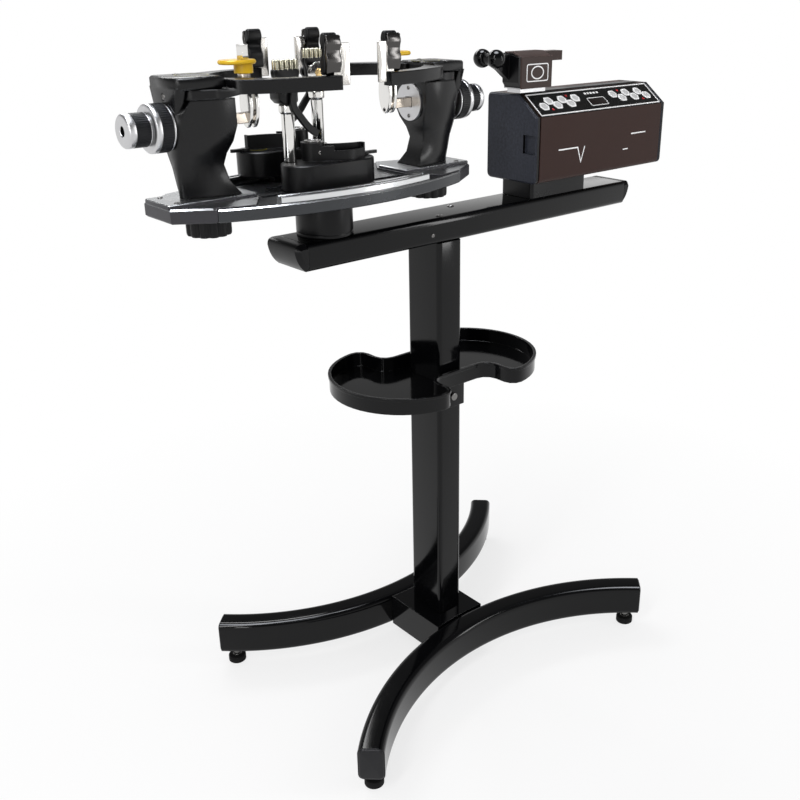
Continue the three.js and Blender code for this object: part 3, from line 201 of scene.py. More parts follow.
add_lamp("lamp_left", (-2.0, -0.7, 2.3), (0, 0, 0.7), (0.26, 1.8), 24)
add_lamp("lamp_right", (1.5, -1.9, 1.3), (0.1, 0, 0.7), (0.26, 1.8), 14)
add_lamp("lamp_low", (-2.3, -1.5, 1.15), (-0.2, 0, 0.9), (0.3, 0.9), 7)
add_lamp("lamp_behind", (0.3, 2.1, 2.3), (0, 0, 0.7), (1.7, 0.4), 22)
print("lamps:", len(bpy.data.lights))

# %% [markdown]
# ## The floor
# The floor is pale and catches a faint shadow. A wall could hide its far edge, but fading its colour
# into plain white about a metre out leaves no horizon line. The distance is the length of the Object
# coordinates.

# %% Floor
FLOOR_GREY = (0.92, 0.92, 0.92, 1)
FADE_START, FADE_END, FADE_LEAST = 0.35, 1.1, 0.72
FLOOR_REACH = 40.0


def new_material(name):
    """An empty node material, its tree, its Principled shader and its coordinates node."""
    material = bpy.data.materials.new(name)
    material.use_nodes = True
    tree = material.node_tree
    return material, tree, tree.nodes["Principled BSDF"], add_node(tree, "TexCoord")


def place_object(name, mesh):
    """Links a mesh into the scene as an object at the origin."""
    made = bpy.data.objects.new(name, mesh)
    scene.collection.objects.link(made)
    return made


floor_paint, floor_tree, floor_shader, floor_place = new_material("floor")
set_values(floor_shader, {"Base Color": FLOOR_GREY, "Roughness": 0.8, "Specular IOR Level": 0.0})
glow = add_node(floor_tree, "Emission", {"Color": WHITE})
distance = add_node(floor_tree, "VectorMath", operation="LENGTH")
fade = add_node(floor_tree, "MapRange", {
    "From Min": FADE_START, "From Max": FADE_END, "To Min": FADE_LEAST,
})
floor_ray = add_node(floor_tree, "LightPath")
seen = add_node(floor_tree, "Math", operation="MAXIMUM")
share = add_node(floor_tree, "Math", operation="MULTIPLY")
blend_floor = add_node(floor_tree, "MixShader")
join(
    floor_tree,
    (floor_place, "Object", distance, 0),
    (distance, "Value", fade, "Value"),
    (floor_ray, "Is Camera Ray", seen, 0),
    (floor_ray, "Is Glossy Ray", seen, 1),
    (fade, 0, share, 0),
    (seen, 0, share, 1),
    (share, 0, blend_floor, 0),
    (floor_shader, 0, blend_floor, 1),
    (glow, 0, blend_floor, 2),
    (blend_floor, 0, floor_tree.nodes["Material Output"], "Surface"),
)
floor_corners = [(x * FLOOR_REACH, y * FLOOR_REACH, 0) for x, y in ((-1, -1), (1, -1), (1, 1), (-1, 1))]
floor_mesh = bpy.data.meshes.new("floor")
floor_mesh.from_pydata(floor_corners, [], [range(4)])
floor_mesh.materials.append(floor_paint)
place_object("floor", floor_mesh)
print("floor reaches", FLOOR_REACH, "m")

# %% [markdown]
# ## Finishes
# Paint, anodising, chrome and plastic differ in how sharp the reflection is, how much it varies and
# the fine relief under it. Pictures could carry that, but noise mixed into colour, roughness and bump
# fits a part of any size. The Bevel node rounds hard edges, which catch a thin line of light, and
# where its normal leaves the true one the paint is rubbed lighter.

# %% Finish helper
FINISHES = {}
FLAT_COSINE, EDGE_COSINE = 0.99, 0.75


def tinted(color, factor, lift=0.0):
    """A colour times a factor plus a lift, at most 1, with its alpha."""
    return (*(min(1, c * factor + lift) for c in color), 1)


def finish(name, color, roughness, metal=0.0, spread=0.06, grain=900.0, relief=0.02, edge=0.6,
           stretch=(1, 1, 1), specular=0.5, speckled=False, shade=0.12, wear=0.0):
    """A finish whose colour, roughness and relief follow noise on Object coordinates.

    Roughness is the given one plus or minus spread. Colour lies between 1 - shade and 1 times the
    given one, after the broad noise or, if speckled, after the fine one. Along an edge the share
    that is rubbed rises to wear as the cosine between the rounded and the true normal falls. The
    edge radius is in millimetres.
    """
    material, tree, shader, where = new_material(name)
    mapping = add_node(tree, "Mapping", {"Scale": stretch})
    broad = add_node(tree, "TexNoise", {"Scale": 16.0, "Detail": 6.0})
    fine = add_node(tree, "TexNoise", {"Scale": grain, "Detail": 3.0})
    tone = add_node(tree, "Mix", data_type="RGBA")
    set_values(tone, {"A": tinted(color, 1 - shade), "B": tinted(color, 1)})
    rough = add_node(tree, "MapRange", {"From Min": 0.3, "From Max": 0.7})
    set_values(rough, {"To Min": max(0.02, roughness - spread), "To Max": roughness + spread})
    bevel = add_node(tree, "Bevel", {"Radius": edge * MM}, samples=4)
    bump = add_node(tree, "Bump", {"Strength": relief, "Distance": 0.2 * MM})
    set_values(shader, {"Metallic": metal, "Specular IOR Level": specular})
    mottle = fine if speckled else broad
    painted = tone
    if wear:
        true_normal = add_node(tree, "NewGeometry")
        cosine = add_node(tree, "VectorMath", operation="DOT_PRODUCT")
        rubbed = add_node(tree, "MapRange", {"From Min": FLAT_COSINE, "From Max": EDGE_COSINE})
        set_values(rubbed, {"To Max": wear})
        painted = add_node(tree, "Mix", data_type="RGBA")
        set_values(painted, {"B": tinted(color, 3, 0.04)})
        join(
            tree,
            (bevel, 0, cosine, 0),
            (true_normal, "Normal", cosine, 1),
            (cosine, "Value", rubbed, "Value"),
            (rubbed, 0, painted, "Factor"),
            (tone, "Result", painted, "A"),
        )
    join(
        tree,
        (where, "Object", mapping, "Vector"),
        (where, "Object", broad, "Vector"),
        (mapping, 0, fine, "Vector"),
        (mottle, "Fac", tone, "Factor"),
        (broad, "Fac", rough, "Value"),
        (rough, 0, shader, "Roughness"),
        (fine, "Fac", bump, "Height"),
        (bevel, 0, bump, "Normal"),
        (bump, 0, shader, "Normal"),
        (painted, "Result", shader, "Base Color"),
    )
    FINISHES[name] = material


# %% [markdown]
# ## Black and brown paints
# The stand is sprayed gloss black, the castings satin black and the box chocolate brown. They are
# nearly black, so their look comes from the reflection, and a low Specular IOR Level keeps the pale
# floor from greying them.

# %% Paints and plastics
finish("gloss_black", (0.0018, 0.0019, 0.0023), 0.1, spread=0.04, specular=0.22, edge=1.2)
finish("satin_black", (0.003, 0.003, 0.0036), 0.32, relief=0.1, specular=0.2, edge=0.9, wear=0.3)
finish("cast_black", (0.0035, 0.0035, 0.004), 0.32, spread=0.05, relief=0.2, grain=750, specular=0.2,
       edge=1.1, wear=0.35)
finish("moulded_black", (0.005, 0.005, 0.0055), 0.42, relief=0.28, specular=0.2, edge=0.8)
finish("plug_black", (0.011, 0.011, 0.013), 0.4, relief=0.28, specular=0.25, edge=1.2)
finish("knurl_black", (0.005, 0.0055, 0.007), 0.38, relief=0.2, specular=0.22, edge=0.3, wear=0.3)
finish("foot_rubber", (0.006, 0.006, 0.006), 0.72, relief=0.4, grain=500, specular=0.15)
finish("nose_grey", (0.036, 0.035, 0.04), 0.42, relief=0.45, grain=520, specular=0.25, edge=0.9, wear=0.4)
finish("post_black", (0.0035, 0.0035, 0.004), 0.26, spread=0.04, relief=0.1, grain=750, specular=0.3,
       edge=2.8)
finish("arm_black", (0.003, 0.003, 0.0035), 0.24, relief=0.08, grain=800, specular=0.25, edge=3.0)
finish("cap_grey", (0.033, 0.037, 0.052), 0.5, grain=240, relief=1.0, specular=0.2, edge=1.2,
       speckled=True, shade=0.75, wear=0.25)
finish("box_brown", (0.034, 0.0152, 0.0118), 0.42, grain=600, relief=0.16, specular=0.12, edge=1.2,
       shade=0.15)
finish("head_brown", (0.036, 0.02, 0.0165), 0.4, relief=0.2, specular=0.2, edge=1.0, wear=0.4)
finish("yellow_nylon", (0.9, 0.55, 0.006), 0.38, relief=0.12, shade=0.1, edge=0.8, spread=0.1)
print("with the floor:", len(bpy.data.materials), "materials")

# %% [markdown]
# ## Bright metals
# Chrome is smooth and mirrors the room. Aluminium and steel are brushed: a Mapping node squeezes the
# noise along the brushing, where a picture would show its seams.

# %% Metals
finish("chrome", (0.78, 0.77, 0.75), 0.1, metal=1.0, spread=0.04, relief=0.01, edge=0.5, shade=0.05)
finish("silver_ring", (0.62, 0.62, 0.63), 0.34, metal=1.0, relief=0.05, edge=0.4)
finish("warm_steel", (0.56, 0.5, 0.43), 0.25, metal=1.0, stretch=(0.1, 1, 1), relief=0.12)
finish("dark_steel", (0.2, 0.195, 0.19), 0.22, metal=1.0, spread=0.08, relief=0.06, edge=0.9)
finish("tooth_steel", (0.44, 0.42, 0.33), 0.24, metal=1.0, spread=0.08, relief=0.08, edge=0.4)
finish("rail_metal", (0.72, 0.73, 0.74), 0.2, metal=1.0, stretch=(0.03, 1, 1), relief=0.14, edge=0.4)
finish("bright_bar", (0.62, 0.6, 0.57), 0.2, metal=1.0, spread=0.05, relief=0.03)
finish("claw_steel", (0.085, 0.082, 0.08), 0.16, metal=1.0, spread=0.05, relief=0.03, edge=1.2)
finish("anodised", (0.05, 0.053, 0.057), 0.26, metal=0.7, spread=0.08, stretch=(0.05, 1, 1), relief=0.1,
       wear=0.5)
# Painted sheen: the grey noses' level tops get this lighter metal finish in place of the light they catch.
finish("nose_top_painted_sheen", (0.42, 0.43, 0.44), 0.3, metal=1.0, relief=0.15, grain=600)
finish("brass", (0.6, 0.43, 0.2), 0.25, metal=1.0, relief=0.05)
print("with the metals:", len(bpy.data.materials), "materials")

# %% [markdown]
# ## Printed inks
# Ink is matt, and an even coat of it still shows a little mottling, so the printed marks go through
# the same helper instead of getting a plain colour.

# %% Inks
finish("white_ink", (0.92, 0.92, 0.92), 0.5, relief=0.05, shade=0.06, edge=0.1)
finish("red_ink", (0.5, 0.01, 0.015), 0.5, relief=0.05, edge=0.1)
finish("olive_ink", (0.12, 0.105, 0.008), 0.4, relief=0.05, edge=0.1, shade=0.3)
finish("yellow_ink", (0.38, 0.33, 0.015), 0.4, relief=0.05, edge=0.1, shade=0.3)
finish("key_grey", (0.6, 0.6, 0.6), 0.45, relief=0.05, shade=0.06, edge=0.1)
finish("panel_black", (0.003, 0.003, 0.003), 0.28, relief=0.06, specular=0.2, edge=0.2)
finish("window_dark", (0.012, 0.007, 0.006), 0.12, relief=0.01, specular=0.3, edge=0.1)
print("with the inks:", len(bpy.data.materials), "materials")

# %% [markdown]
# ## One way to make a skin
# Nearly every piece is a stack of closed rings of points: a tube is a ring carried along a path, a
# knob one that grows and shrinks, a plate its outline drawn at several levels. Modifiers could build
# them, but one helper on whole arrays serves them all. It joins the rings with quads, closes both
# ends with a fan and turns the faces over if the volume they enclose is negative.

# %% Rings to skin


def halves(quads):
    """The two triangles of each quad."""
    return np.vstack([quads[:, :3], quads[:, [0, 2, 3]]])


def volume(corners, triangles):
    """The sum over the triangles of the triple product of their corners, over six."""
    a, b, c = (corners[triangles[:, i]] for i in range(3))
    return np.einsum("ij,ij->i", a, np.cross(b, c)).sum() / 6


def skin(rings, kinds=0):
    """Corners, faces and finish numbers of a stack of rings, an array (levels, points, 3).

    kinds is one finish number, or one for each band between two levels.
    """
    levels, points, _ = rings.shape
    corners = np.vstack([rings.reshape(-1, 3), rings[0].mean(0), rings[-1].mean(0)])
    here = np.arange(levels * points).reshape(levels, points)
    beside = np.roll(here, -1, axis=1)
    quads = np.stack([here[:-1], beside[:-1], beside[1:], here[1:]], axis=-1).reshape(-1, 4)
    low = np.stack([beside[0], here[0], np.full(points, levels * points)], axis=-1)
    high = np.stack([here[-1], beside[-1], np.full(points, levels * points + 1)], axis=-1)
    fans = np.vstack([low, high])
    if volume(corners, np.vstack([halves(quads), fans])) < 0:
        quads, fans = quads[:, ::-1], fans[:, ::-1]
    bands = np.broadcast_to(np.asarray(kinds), levels - 1)
    marks = np.repeat([*bands, bands[0], bands[-1]], points)
    return corners, quads.tolist() + fans.tolist(), marks


def loop_skin(rings):
    """As skin, for a stack of rings whose last ring joins the first, like a torus."""
    levels, points, _ = rings.shape
    here = np.arange(levels * points).reshape(levels, points)
    beside = np.roll(here, -1, axis=1)
    above, across = np.roll(here, -1, axis=0), np.roll(beside, -1, axis=0)
    quads = np.stack([here, beside, across, above], axis=-1).reshape(-1, 4)
    corners = rings.reshape(-1, 3)
    if volume(corners, halves(quads)) < 0:
        quads = quads[:, ::-1]
    return corners, quads.tolist(), np.zeros(len(quads), int)


print("skin helpers ready")

# %% [markdown]
# ## From skins to a piece
# A real part is often several bodies pressed or cast into one. The helper below puts several skins
# into one mesh, gives each face its finish and makes the piece ride on a body of the frame. Places
# are in millimetres and scaled once, here.

# %% Put pieces
CREASE = 32.0


def put(name, skins, finishes, stands_for=None, crease=CREASE, body=None):
    """One piece from a list of skins in millimetres. It stands for a CAD node and rides on the node's
    body, or it is an added piece on a named body. Edges sharper than crease degrees stay crisp."""
    starts = np.cumsum([0] + [len(corners) for corners, _, _ in skins]).tolist()
    faces = [[index + start for index in face] for start, part in zip(starts, skins) for face in part[1]]
    mesh = bpy.data.meshes.new(name)
    mesh.from_pydata((np.vstack([part[0] for part in skins]) * MM).tolist(), [], faces)
    for one in finishes:
        mesh.materials.append(FINISHES[one])
    marks = np.concatenate([part[2] for part in skins]).astype(np.int32)
    mesh.polygons.foreach_set("material_index", marks)
    mesh.polygons.foreach_set("use_smooth", np.ones(len(marks), bool))
    mesh.set_sharp_from_angle(angle=math.radians(crease))
    mesh.update()
    made = place_object(name, mesh)
    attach(made, body or BODY_OF[stands_for])
    if stands_for:
        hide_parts(stands_for)
    return made


# %% [markdown]
# ## Carried-over solids
# Where the CAD shape is already right, the piece is a copy of it. The CAD mesh is loose triangles and
# would look faceted, so corners that share a place are merged and neighbouring faces share a normal.
# A test on a face's middle and direction can give part of it a second finish.

# %% Merged copies
SAME_PLACE = 0.002
BODY_OF = {}
for body, nodes in frame["record"]["behaviour"]["bodies"].items():
    BODY_OF.update(dict.fromkeys(nodes, body))


def box_of(node):
    """The lowest and the highest corner of a CAD node at rest, in millimetres."""
    return [[round(value / MM, 3) for value in corner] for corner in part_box(node)]


def merged_skin(node):
    """The node's corners in millimetres and its triangles, with corners that share a place made one."""
    mesh = frame["nodes"][node].data
    corners = np.zeros(len(mesh.vertices) * 3)
    mesh.vertices.foreach_get("co", corners)
    corners = corners.reshape(-1, 3) / MM
    mesh.calc_loop_triangles()
    faces = np.zeros(len(mesh.loop_triangles) * 3, np.int32)
    mesh.loop_triangles.foreach_get("vertices", faces)
    cells = np.round(corners / SAME_PLACE)
    _, first, back = np.unique(cells, axis=0, return_index=True, return_inverse=True)
    faces = back.reshape(-1)[faces].reshape(-1, 3)
    whole = (faces != np.roll(faces, 1, axis=1)).all(axis=1)
    return corners[first], faces[whole]


def dress(node, *finishes, where=None, crease=CREASE, moved=None):
    """Replaces a CAD node by its merged copy.

    where(middle, normal) gives each face the number of its finish, and moved(corners) gives the
    corners a finer place.
    """
    corners, faces = merged_skin(node)
    if moved:
        corners = moved(corners)
    a, b, c = (corners[faces[:, i]] for i in range(3))
    normal = np.cross(b - a, c - a)
    normal = normal / np.maximum(np.linalg.norm(normal, axis=1, keepdims=True), 1e-9)
    marks = where((a + b + c) / 3, normal).astype(int) if where else np.zeros(len(faces), int)
    copy = (corners, faces.tolist(), marks)
    return put(node + "_skin", [copy], finishes, node, crease)


print("CAD nodes:", len(BODY_OF))

# %% [markdown]
# ## Outlines and paths
# Curve objects could draw the outlines, but a few formulas on arrays go straight into skins: a
# polygon with rounded corners, a smooth closed curve, an ellipse, and an outline moved inward, which
# a rounded rim needs.

# %% Outlines


def lengths(vectors):
    """The length of each row, as a column."""
    return np.linalg.norm(vectors, axis=1, keepdims=True)


def rounded(points, radius, steps=6):
    """A polygon whose corners are replaced by arcs: at each corner a quadratic curve from a point
    one radius before it, pulled by the corner, to a point one radius after it."""
    points = np.asarray(points, float)
    before = np.roll(points, 1, 0) - points
    after = np.roll(points, -1, 0) - points
    cut = np.minimum(radius, 0.48 * np.minimum(lengths(before), lengths(after)))
    start = points + before / lengths(before) * cut
    end = points + after / lengths(after) * cut
    t = np.linspace(0, 1, steps + 1)[None, :, None]
    curve = (1 - t) ** 2 * start[:, None] + 2 * t * (1 - t) * points[:, None] + t**2 * end[:, None]
    return curve.reshape(-1, 2)


def rectangle(ends_across, ends_up, radius, steps=6):
    """A rectangle between two places across and two up, with rounded corners."""
    (x0, x1), (y0, y1) = ends_across, ends_up
    return rounded([(x0, y0), (x1, y0), (x1, y1), (x0, y1)], radius, steps)


def flowing(points, steps=8):
    """A closed smooth curve through the points: the Catmull-Rom cubic between each two neighbours."""
    p0, p1, p2, p3 = (np.roll(points, shift, 0)[:, None] for shift in (1, 0, -1, -2))
    t = (np.arange(steps) / steps)[None, :, None]
    slope, bend = 2 * p0 - 5 * p1 + 4 * p2 - p3, 3 * p1 - p0 - 3 * p2 + p3
    curve = 0.5 * (2 * p1 + (p2 - p0) * t + slope * t**2 + bend * t**3)
    return curve.reshape(-1, 2)


def ellipse(x, y, radius, points=48, squash=1.0):
    """An ellipse about x, y, as wide as the radius and squash times as high."""
    angle = np.linspace(0, 2 * math.pi, points, endpoint=False)
    return np.stack([x + radius * np.cos(angle), y + radius * squash * np.sin(angle)], axis=-1)


def inward(outline, amount):
    """The outline moved inward by an amount along the sum of its two edges' normals, with a miter."""
    x, y = outline[:, 0], outline[:, 1]
    area = (x * np.roll(y, -1) - np.roll(x, -1) * y).sum()
    along = np.roll(outline, -1, 0) - outline
    along = along / np.maximum(lengths(along), 1e-9)
    normal = np.stack([-along[:, 1], along[:, 0]], axis=-1) * np.sign(area)
    other = np.roll(normal, 1, 0)
    cosine = (normal * other).sum(1, keepdims=True)
    return outline + amount * (normal + other) / np.maximum(1 + cosine, 0.4)


print("outline helpers ready")

# %% [markdown]
# ## Slabs and turned parts
# A slab is an outline pushed along an axis with both rims rounded, for plates, keys, claws and tubes.
# A turned part is a line of distances and radii spun about an axis, as on a lathe. Its radius may
# wave with the angle, which cuts knurls and flutes.

# %% Slabs and turned parts


def stand(outline, level, axis):
    """The outline's two coordinates and the level as points in space, for a push along x, y or z."""
    one, two = outline[:, 0], outline[:, 1]
    flat = np.full(len(outline), float(level))
    order = {"x": (flat, one, two), "y": (one, flat, two), "z": (one, two, flat)}
    return np.stack(order[axis], axis=-1)


def slab(outline, low, high, edge=0.5, axis="z", kind=0, steps=4):
    """An outline pushed from low to high. On each rim a quarter circle turns: the outline is inset
    by edge times one minus the sine, while the level moves by edge times one minus the cosine."""
    turn = np.linspace(0, math.pi / 2, steps + 1)
    falling, rising = edge * (1 - np.sin(turn)), edge * (1 - np.cos(turn))
    insets = np.concatenate([falling, rising])
    levels = np.concatenate([low + rising, high - falling])
    return skin(np.stack([
        stand(inward(outline, inset), level, axis) for inset, level in zip(insets, levels)
    ]), kind)


def flat_ring(outside, inside, low, high, axis):
    """The outer outline at both levels and the inner one back again, closed into a loop."""
    places = ((outside, low), (outside, high), (inside, high), (inside, low))
    return loop_skin(np.stack([stand(outline, level, axis) for outline, level in places]))


def spin(profile, centre, axis="z", points=64, wave=None, kinds=0):
    """A profile of (distance along the axis, radius) spun about an axis through centre. wave(distance,
    angle) is the share that the radius is multiplied by."""
    profile = np.asarray(profile, float)
    angle = np.linspace(0, 2 * math.pi, points, endpoint=False)
    far, radius = profile[:, 0:1] * np.ones(points), profile[:, 1:2] * np.ones(points)
    if wave:
        radius = radius * wave(far, angle)
    one, two = radius * np.cos(angle), radius * np.sin(angle)
    order = {"z": (one, two, far), "x": (far, one, two), "y": (one, far, two)}
    return skin(np.stack(order[axis], axis=-1) + np.asarray(centre, float), kinds)


def flutes(count, depth, power=1):
    """A wave for spin: one minus depth times a power of the half of one plus the cosine of count
    times the angle."""
    return lambda far, angle: 1 - depth * ((1 + np.cos(count * angle)) / 2) ** power


def dome(radius, low, high, steps=6):
    """The profile of a rounded peg's end: the radius falls with the cosine while the height rises
    with the sine."""
    turn = np.linspace(0, math.pi / 2 * 0.98, steps)[1:]
    return [(low + (high - low) * math.sin(t), radius * math.cos(t)) for t in turn]


def soft_line(points, edge):
    """The profile with each inner point cut into three, edge before, between and after, so that
    turned rims are round."""
    p = np.asarray(points, float)
    before, after = p[:-2] - p[1:-1], p[2:] - p[1:-1]
    cut = np.minimum(edge, 0.45 * np.minimum(lengths(before), lengths(after)))
    start = p[1:-1] + before / lengths(before) * cut
    end = p[1:-1] + after / lengths(after) * cut
    middle = 0.25 * start + 0.5 * p[1:-1] + 0.25 * end
    inner = np.stack([start, middle, end], axis=1).reshape(-1, 2)
    return np.vstack([p[:1], inner, p[-1:]])


def sweep(path, side, section):
    """A section of (across, up) points carried along a level path: each ring is the path point plus
    across times the side direction, with up as its height."""
    up = np.stack([np.zeros(len(section)), np.zeros(len(section)), section[:, 1]], axis=-1)
    return path[:, None, :] + section[None, :, 0:1] * side[:, None, :] + up[None]


def socket_screw(place, radius, height, axis="z", way=1, kind=0):
    """A screw head with a dished socket: the profile climbs round the rim and drops into the middle."""
    shares = np.array([(0, 1), (0.6, 1), (1, 0.8), (1, 0.5), (0.45, 0.45), (0.4, 0.05)])
    return spin(shares * [way * height, radius], place, axis, 24, kinds=kind)


print("helpers ready")

# %% [markdown]
# ## The legs
# Each pair of legs is one square steel tube bent to an arc, with a plastic plug in either end. A
# curve object with a bevel profile would do, but in a rounded square carried along the arc the plugs
# come free: the last rings shrink a little and step out.

# %% Legs
ROWS = {"front": -1, "back": 1}
LEG_RADIUS, LEG_CENTRE, LEG_SWEEP = 417, 492, 45
LEG_HALF, LEG_CORNER = 19, 10
PLUG_TURNS, PLUG_INSETS = (0.02, 0.1, 0.26, 0.3), (1.6, 1.8, 3, 4.5)


def bent_leg(toward):
    """A rounded square tube whose ring at an angle lies at the leg's radius times the angle's sine and
    cosine from the arc's centre. The outer rings are inset to form the plugs."""
    steps = np.radians(np.linspace(-LEG_SWEEP, LEG_SWEEP, 81))
    plug = np.radians(PLUG_TURNS)
    angle = np.concatenate([steps[0] - plug[::-1], steps, steps[-1] + plug])
    insets = np.concatenate([PLUG_INSETS[::-1], np.zeros(len(steps)), PLUG_INSETS])
    side = np.stack([np.sin(angle), -toward * np.cos(angle), np.zeros_like(angle)], axis=-1)
    path = LEG_RADIUS * side + [0, toward * LEG_CENTRE, 0]
    (_, _, low), (_, _, high) = box_of("front_leg_arc")
    section = rectangle((-LEG_HALF, LEG_HALF), (low, high), LEG_CORNER, 9)
    rings = [sweep(path[[i]], side[[i]], inward(section, insets[i]))[0] for i in range(len(angle))]
    kinds = np.where(insets[:-1] + insets[1:] > 0, 1, 0)
    return skin(np.stack(rings), kinds)


for row, toward in ROWS.items():
    leg = put(row + "_leg_tube", [bent_leg(toward)], ["gloss_black", "plug_black"],
              row + "_leg_arc", 40)
    print(leg.name, len(leg.data.polygons), "faces")

# %% [markdown]
# ## Feet
# Under each leg end stands a levelling foot: a rubber disc on a steel stem. It is round, so it is
# turned from one line of distances and radii.

# %% Feet
SIDES = {"left": -1, "right": 1}
FOOT_X, FOOT_Y = 280.4, 183.3
RUBBER_LINE = [(0, 11.5), (0.4, 12.8), (1.6, 14), (9.8, 14), (11.4, 13.2), (12, 11.8), (12.2, 7)]
STEM_LINE = [(13, 6), (25, 6)]
FOOT_BANDS = [0] * (len(RUBBER_LINE) - 1) + [1] * len(STEM_LINE)
for row, toward in ROWS.items():
    for side, way in SIDES.items():
        node = f"foot_{row}_{side}"
        place = (way * FOOT_X, toward * FOOT_Y, 0)
        foot = spin(RUBBER_LINE + STEM_LINE, place, points=40, kinds=FOOT_BANDS)
        put(node + "_turned", [foot], ["foot_rubber", "dark_steel"], node)
print("feet:", len(ROWS) * len(SIDES))

# %% [markdown]
# ## Column and beam
# Both are straight rectangular tubes with rounded corners, so a slab is all they need. The corner
# radius matters: the long highlight on a black tube is as wide as its corner.

# %% Column and beam
COLUMN_CORNER, BEAM_CORNER, TUBE_RIM = 7, 8, 0.4
BEAM_TOP_SCREWS = ((45.9, 15.4), (-11.8, -24.6))
SUNK = 0.1

low, high = box_of("column")
outline = rectangle((low[0], high[0]), (low[1], high[1]), COLUMN_CORNER, 8)
put("column_tube", [slab(outline, low[2], high[2], TUBE_RIM)], ["gloss_black"], "column", 40)
low, high = box_of("beam")
outline = rectangle((low[1], high[1]), (low[2], high[2]), BEAM_CORNER, 9)
put("beam_tube", [slab(outline, low[0], high[0], TUBE_RIM, "x")], ["gloss_black"], "beam", 40)
screws = [socket_screw((x, y, high[2] - SUNK), 5, 1.6) for x, y in BEAM_TOP_SCREWS]
screws.append(socket_screw((-35, low[1] + SUNK, 716), 3, 1.2, "y", -1))
put("beam_screws", screws, ["dark_steel"], body="stand")
for side in SIDES:
    dress("beam_cap_" + side, "satin_black", crease=40)
dress("leg_bridge", "gloss_black", crease=40)
print("beam length", high[0] - low[0], "mm")

# %% [markdown]
# ## Tool tray
# The tray is a glossy moulding with a rolled rim. Its solid already has the right shape, so a merged
# copy shaded round is enough. A collar screw with a fluted head holds it.

# %% Tool tray
TRAY_SCREW = (-1, 0, 466)
COLLAR, HEAD_START, HEAD_END = -38, -41, -45.5
dress("tool_tray", "gloss_black", crease=42)
line = soft_line([(COLLAR, 3.5), (HEAD_START, 3.5), (HEAD_START, 6), (HEAD_END, 6), (HEAD_END, 1)], 0.8)
tray_screw = spin(line, TRAY_SCREW, "y", 36,
                  lambda far, angle: np.where(far < HEAD_START - 0.5, flutes(12, 0.05)(far, angle), 1))
put("tray_screw", [tray_screw], ["dark_steel"], body="stand")
print("tray screw stands out", HEAD_START - HEAD_END, "mm")

# %% [markdown]
# ## Turret, lock knobs and plate
# The turntable rides on a plain turned turret. Below each end hangs a moulded knob with twelve
# flutes, whose radius waves twelve times round. The right post is locked twelve millimetres further
# out in its slot than the left one, and all that stands on it goes along, so its pieces are drawn
# about a middle of their own.

# %% Turret and lock knobs
PIVOT = -190.0
HOME = {"left": PIVOT, "right": PIVOT + 12.0}
TURRET_RADIUS, TURRET_GROOVE = 37, 4.5
LOCK_OUT, STUD_RADIUS, STUD_TOP = 166, 4, 817

(_, _, low), (_, _, high) = box_of("turntable_bearing")
groove = low + TURRET_GROOVE
line = soft_line([
    (low, TURRET_RADIUS - 3), (low, TURRET_RADIUS), (groove - 0.8, TURRET_RADIUS),
    (groove, TURRET_RADIUS - 0.6), (groove + 0.8, TURRET_RADIUS), (high, TURRET_RADIUS),
    (high, TURRET_RADIUS - 4),
], 1.0)
turret = spin(line, (PIVOT, 0, 0), points=96)
put("turret_turned", [turret], ["satin_black"], "turntable_bearing")

GRIP_LINE = [(763.7, 10), (763.7, 26), (767, 27), (786, 27), (788.7, 25.5), (788.7, STUD_RADIUS)]
for side, way in SIDES.items():
    place = (HOME[side] + way * LOCK_OUT, 0, 0)
    grip = spin(soft_line(GRIP_LINE, 1.6), place, points=192, wave=flutes(12, 0.1, 2))
    stud = spin([(788, STUD_RADIUS), (STUD_TOP, STUD_RADIUS)], place, points=24, kinds=1)
    put("lock_grip_" + side, [grip, stud], ["moulded_black", "dark_steel"],
        "lock_knob_" + side, 38)
print("lock knobs hang", LOCK_OUT, "mm out from the middle of their end")

# %% [markdown]
# ## The turntable plate
# The plate is dark anodised aluminium whose upper edge is machined bright. The direction of a face
# tells the chamfer from the top and the side, so one copy gets two finishes. So do the nose plates,
# grey castings whose level tops get a lighter metal finish as painted sheen.

# %% Plate and noses
PLATE_MIDDLE = 800


def plate_zones(middle, normal):
    """1 on the slanted faces of the upper rim, 0 elsewhere."""
    return (normal[:, 2] > 0.15) & (normal[:, 2] < 0.97) & (middle[:, 2] > PLATE_MIDDLE)


def nose_painted_sheen_zones(middle, normal):
    """1 on the level upper faces of a nose, which get a lighter finish as painted sheen."""
    return (normal[:, 2] > 0.5) & (middle[:, 2] > PLATE_MIDDLE)


NOSE_SCREW_OUT, NOSE_SCREW_ACROSS = 214, 20
dress("turntable_plate", "anodised", "rail_metal", where=plate_zones, crease=34)
for side, way in SIDES.items():
    # The lighter finish on the noses' tops is painted sheen on one grey casting.
    dress("nose_" + side, "nose_grey", "nose_top_painted_sheen", where=nose_painted_sheen_zones, crease=34)
    top = box_of("nose_" + side)[1][2] - 2 * SUNK
    screws = [
        socket_screw((PIVOT + way * NOSE_SCREW_OUT, toward * NOSE_SCREW_ACROSS, top), 3.2, 1.2)
        for toward in ROWS.values()
    ]
    put("nose_screws_" + side, screws, ["dark_steel"], body="turntable")
print("noses stand at", top, "mm")

# %% [markdown]
# ## Rails
# Along each long edge of the plate runs an extruded aluminium rail with three ridges. Its section is
# carried along the arc of the edge.

# %% Rails
RAIL_RADIUS, RAIL_CENTRE, RAIL_HALF = 467, 383, 113
RAIL_END_RADIUS = 475
RAIL_HALF_SECTION = np.array([
    (8, 804.3), (8, 810.8), (7.2, 811.8), (3.4, 811.8), (2.5, 811), (2.5, 809), (1.3, 809), (0.9, 810.6),
])


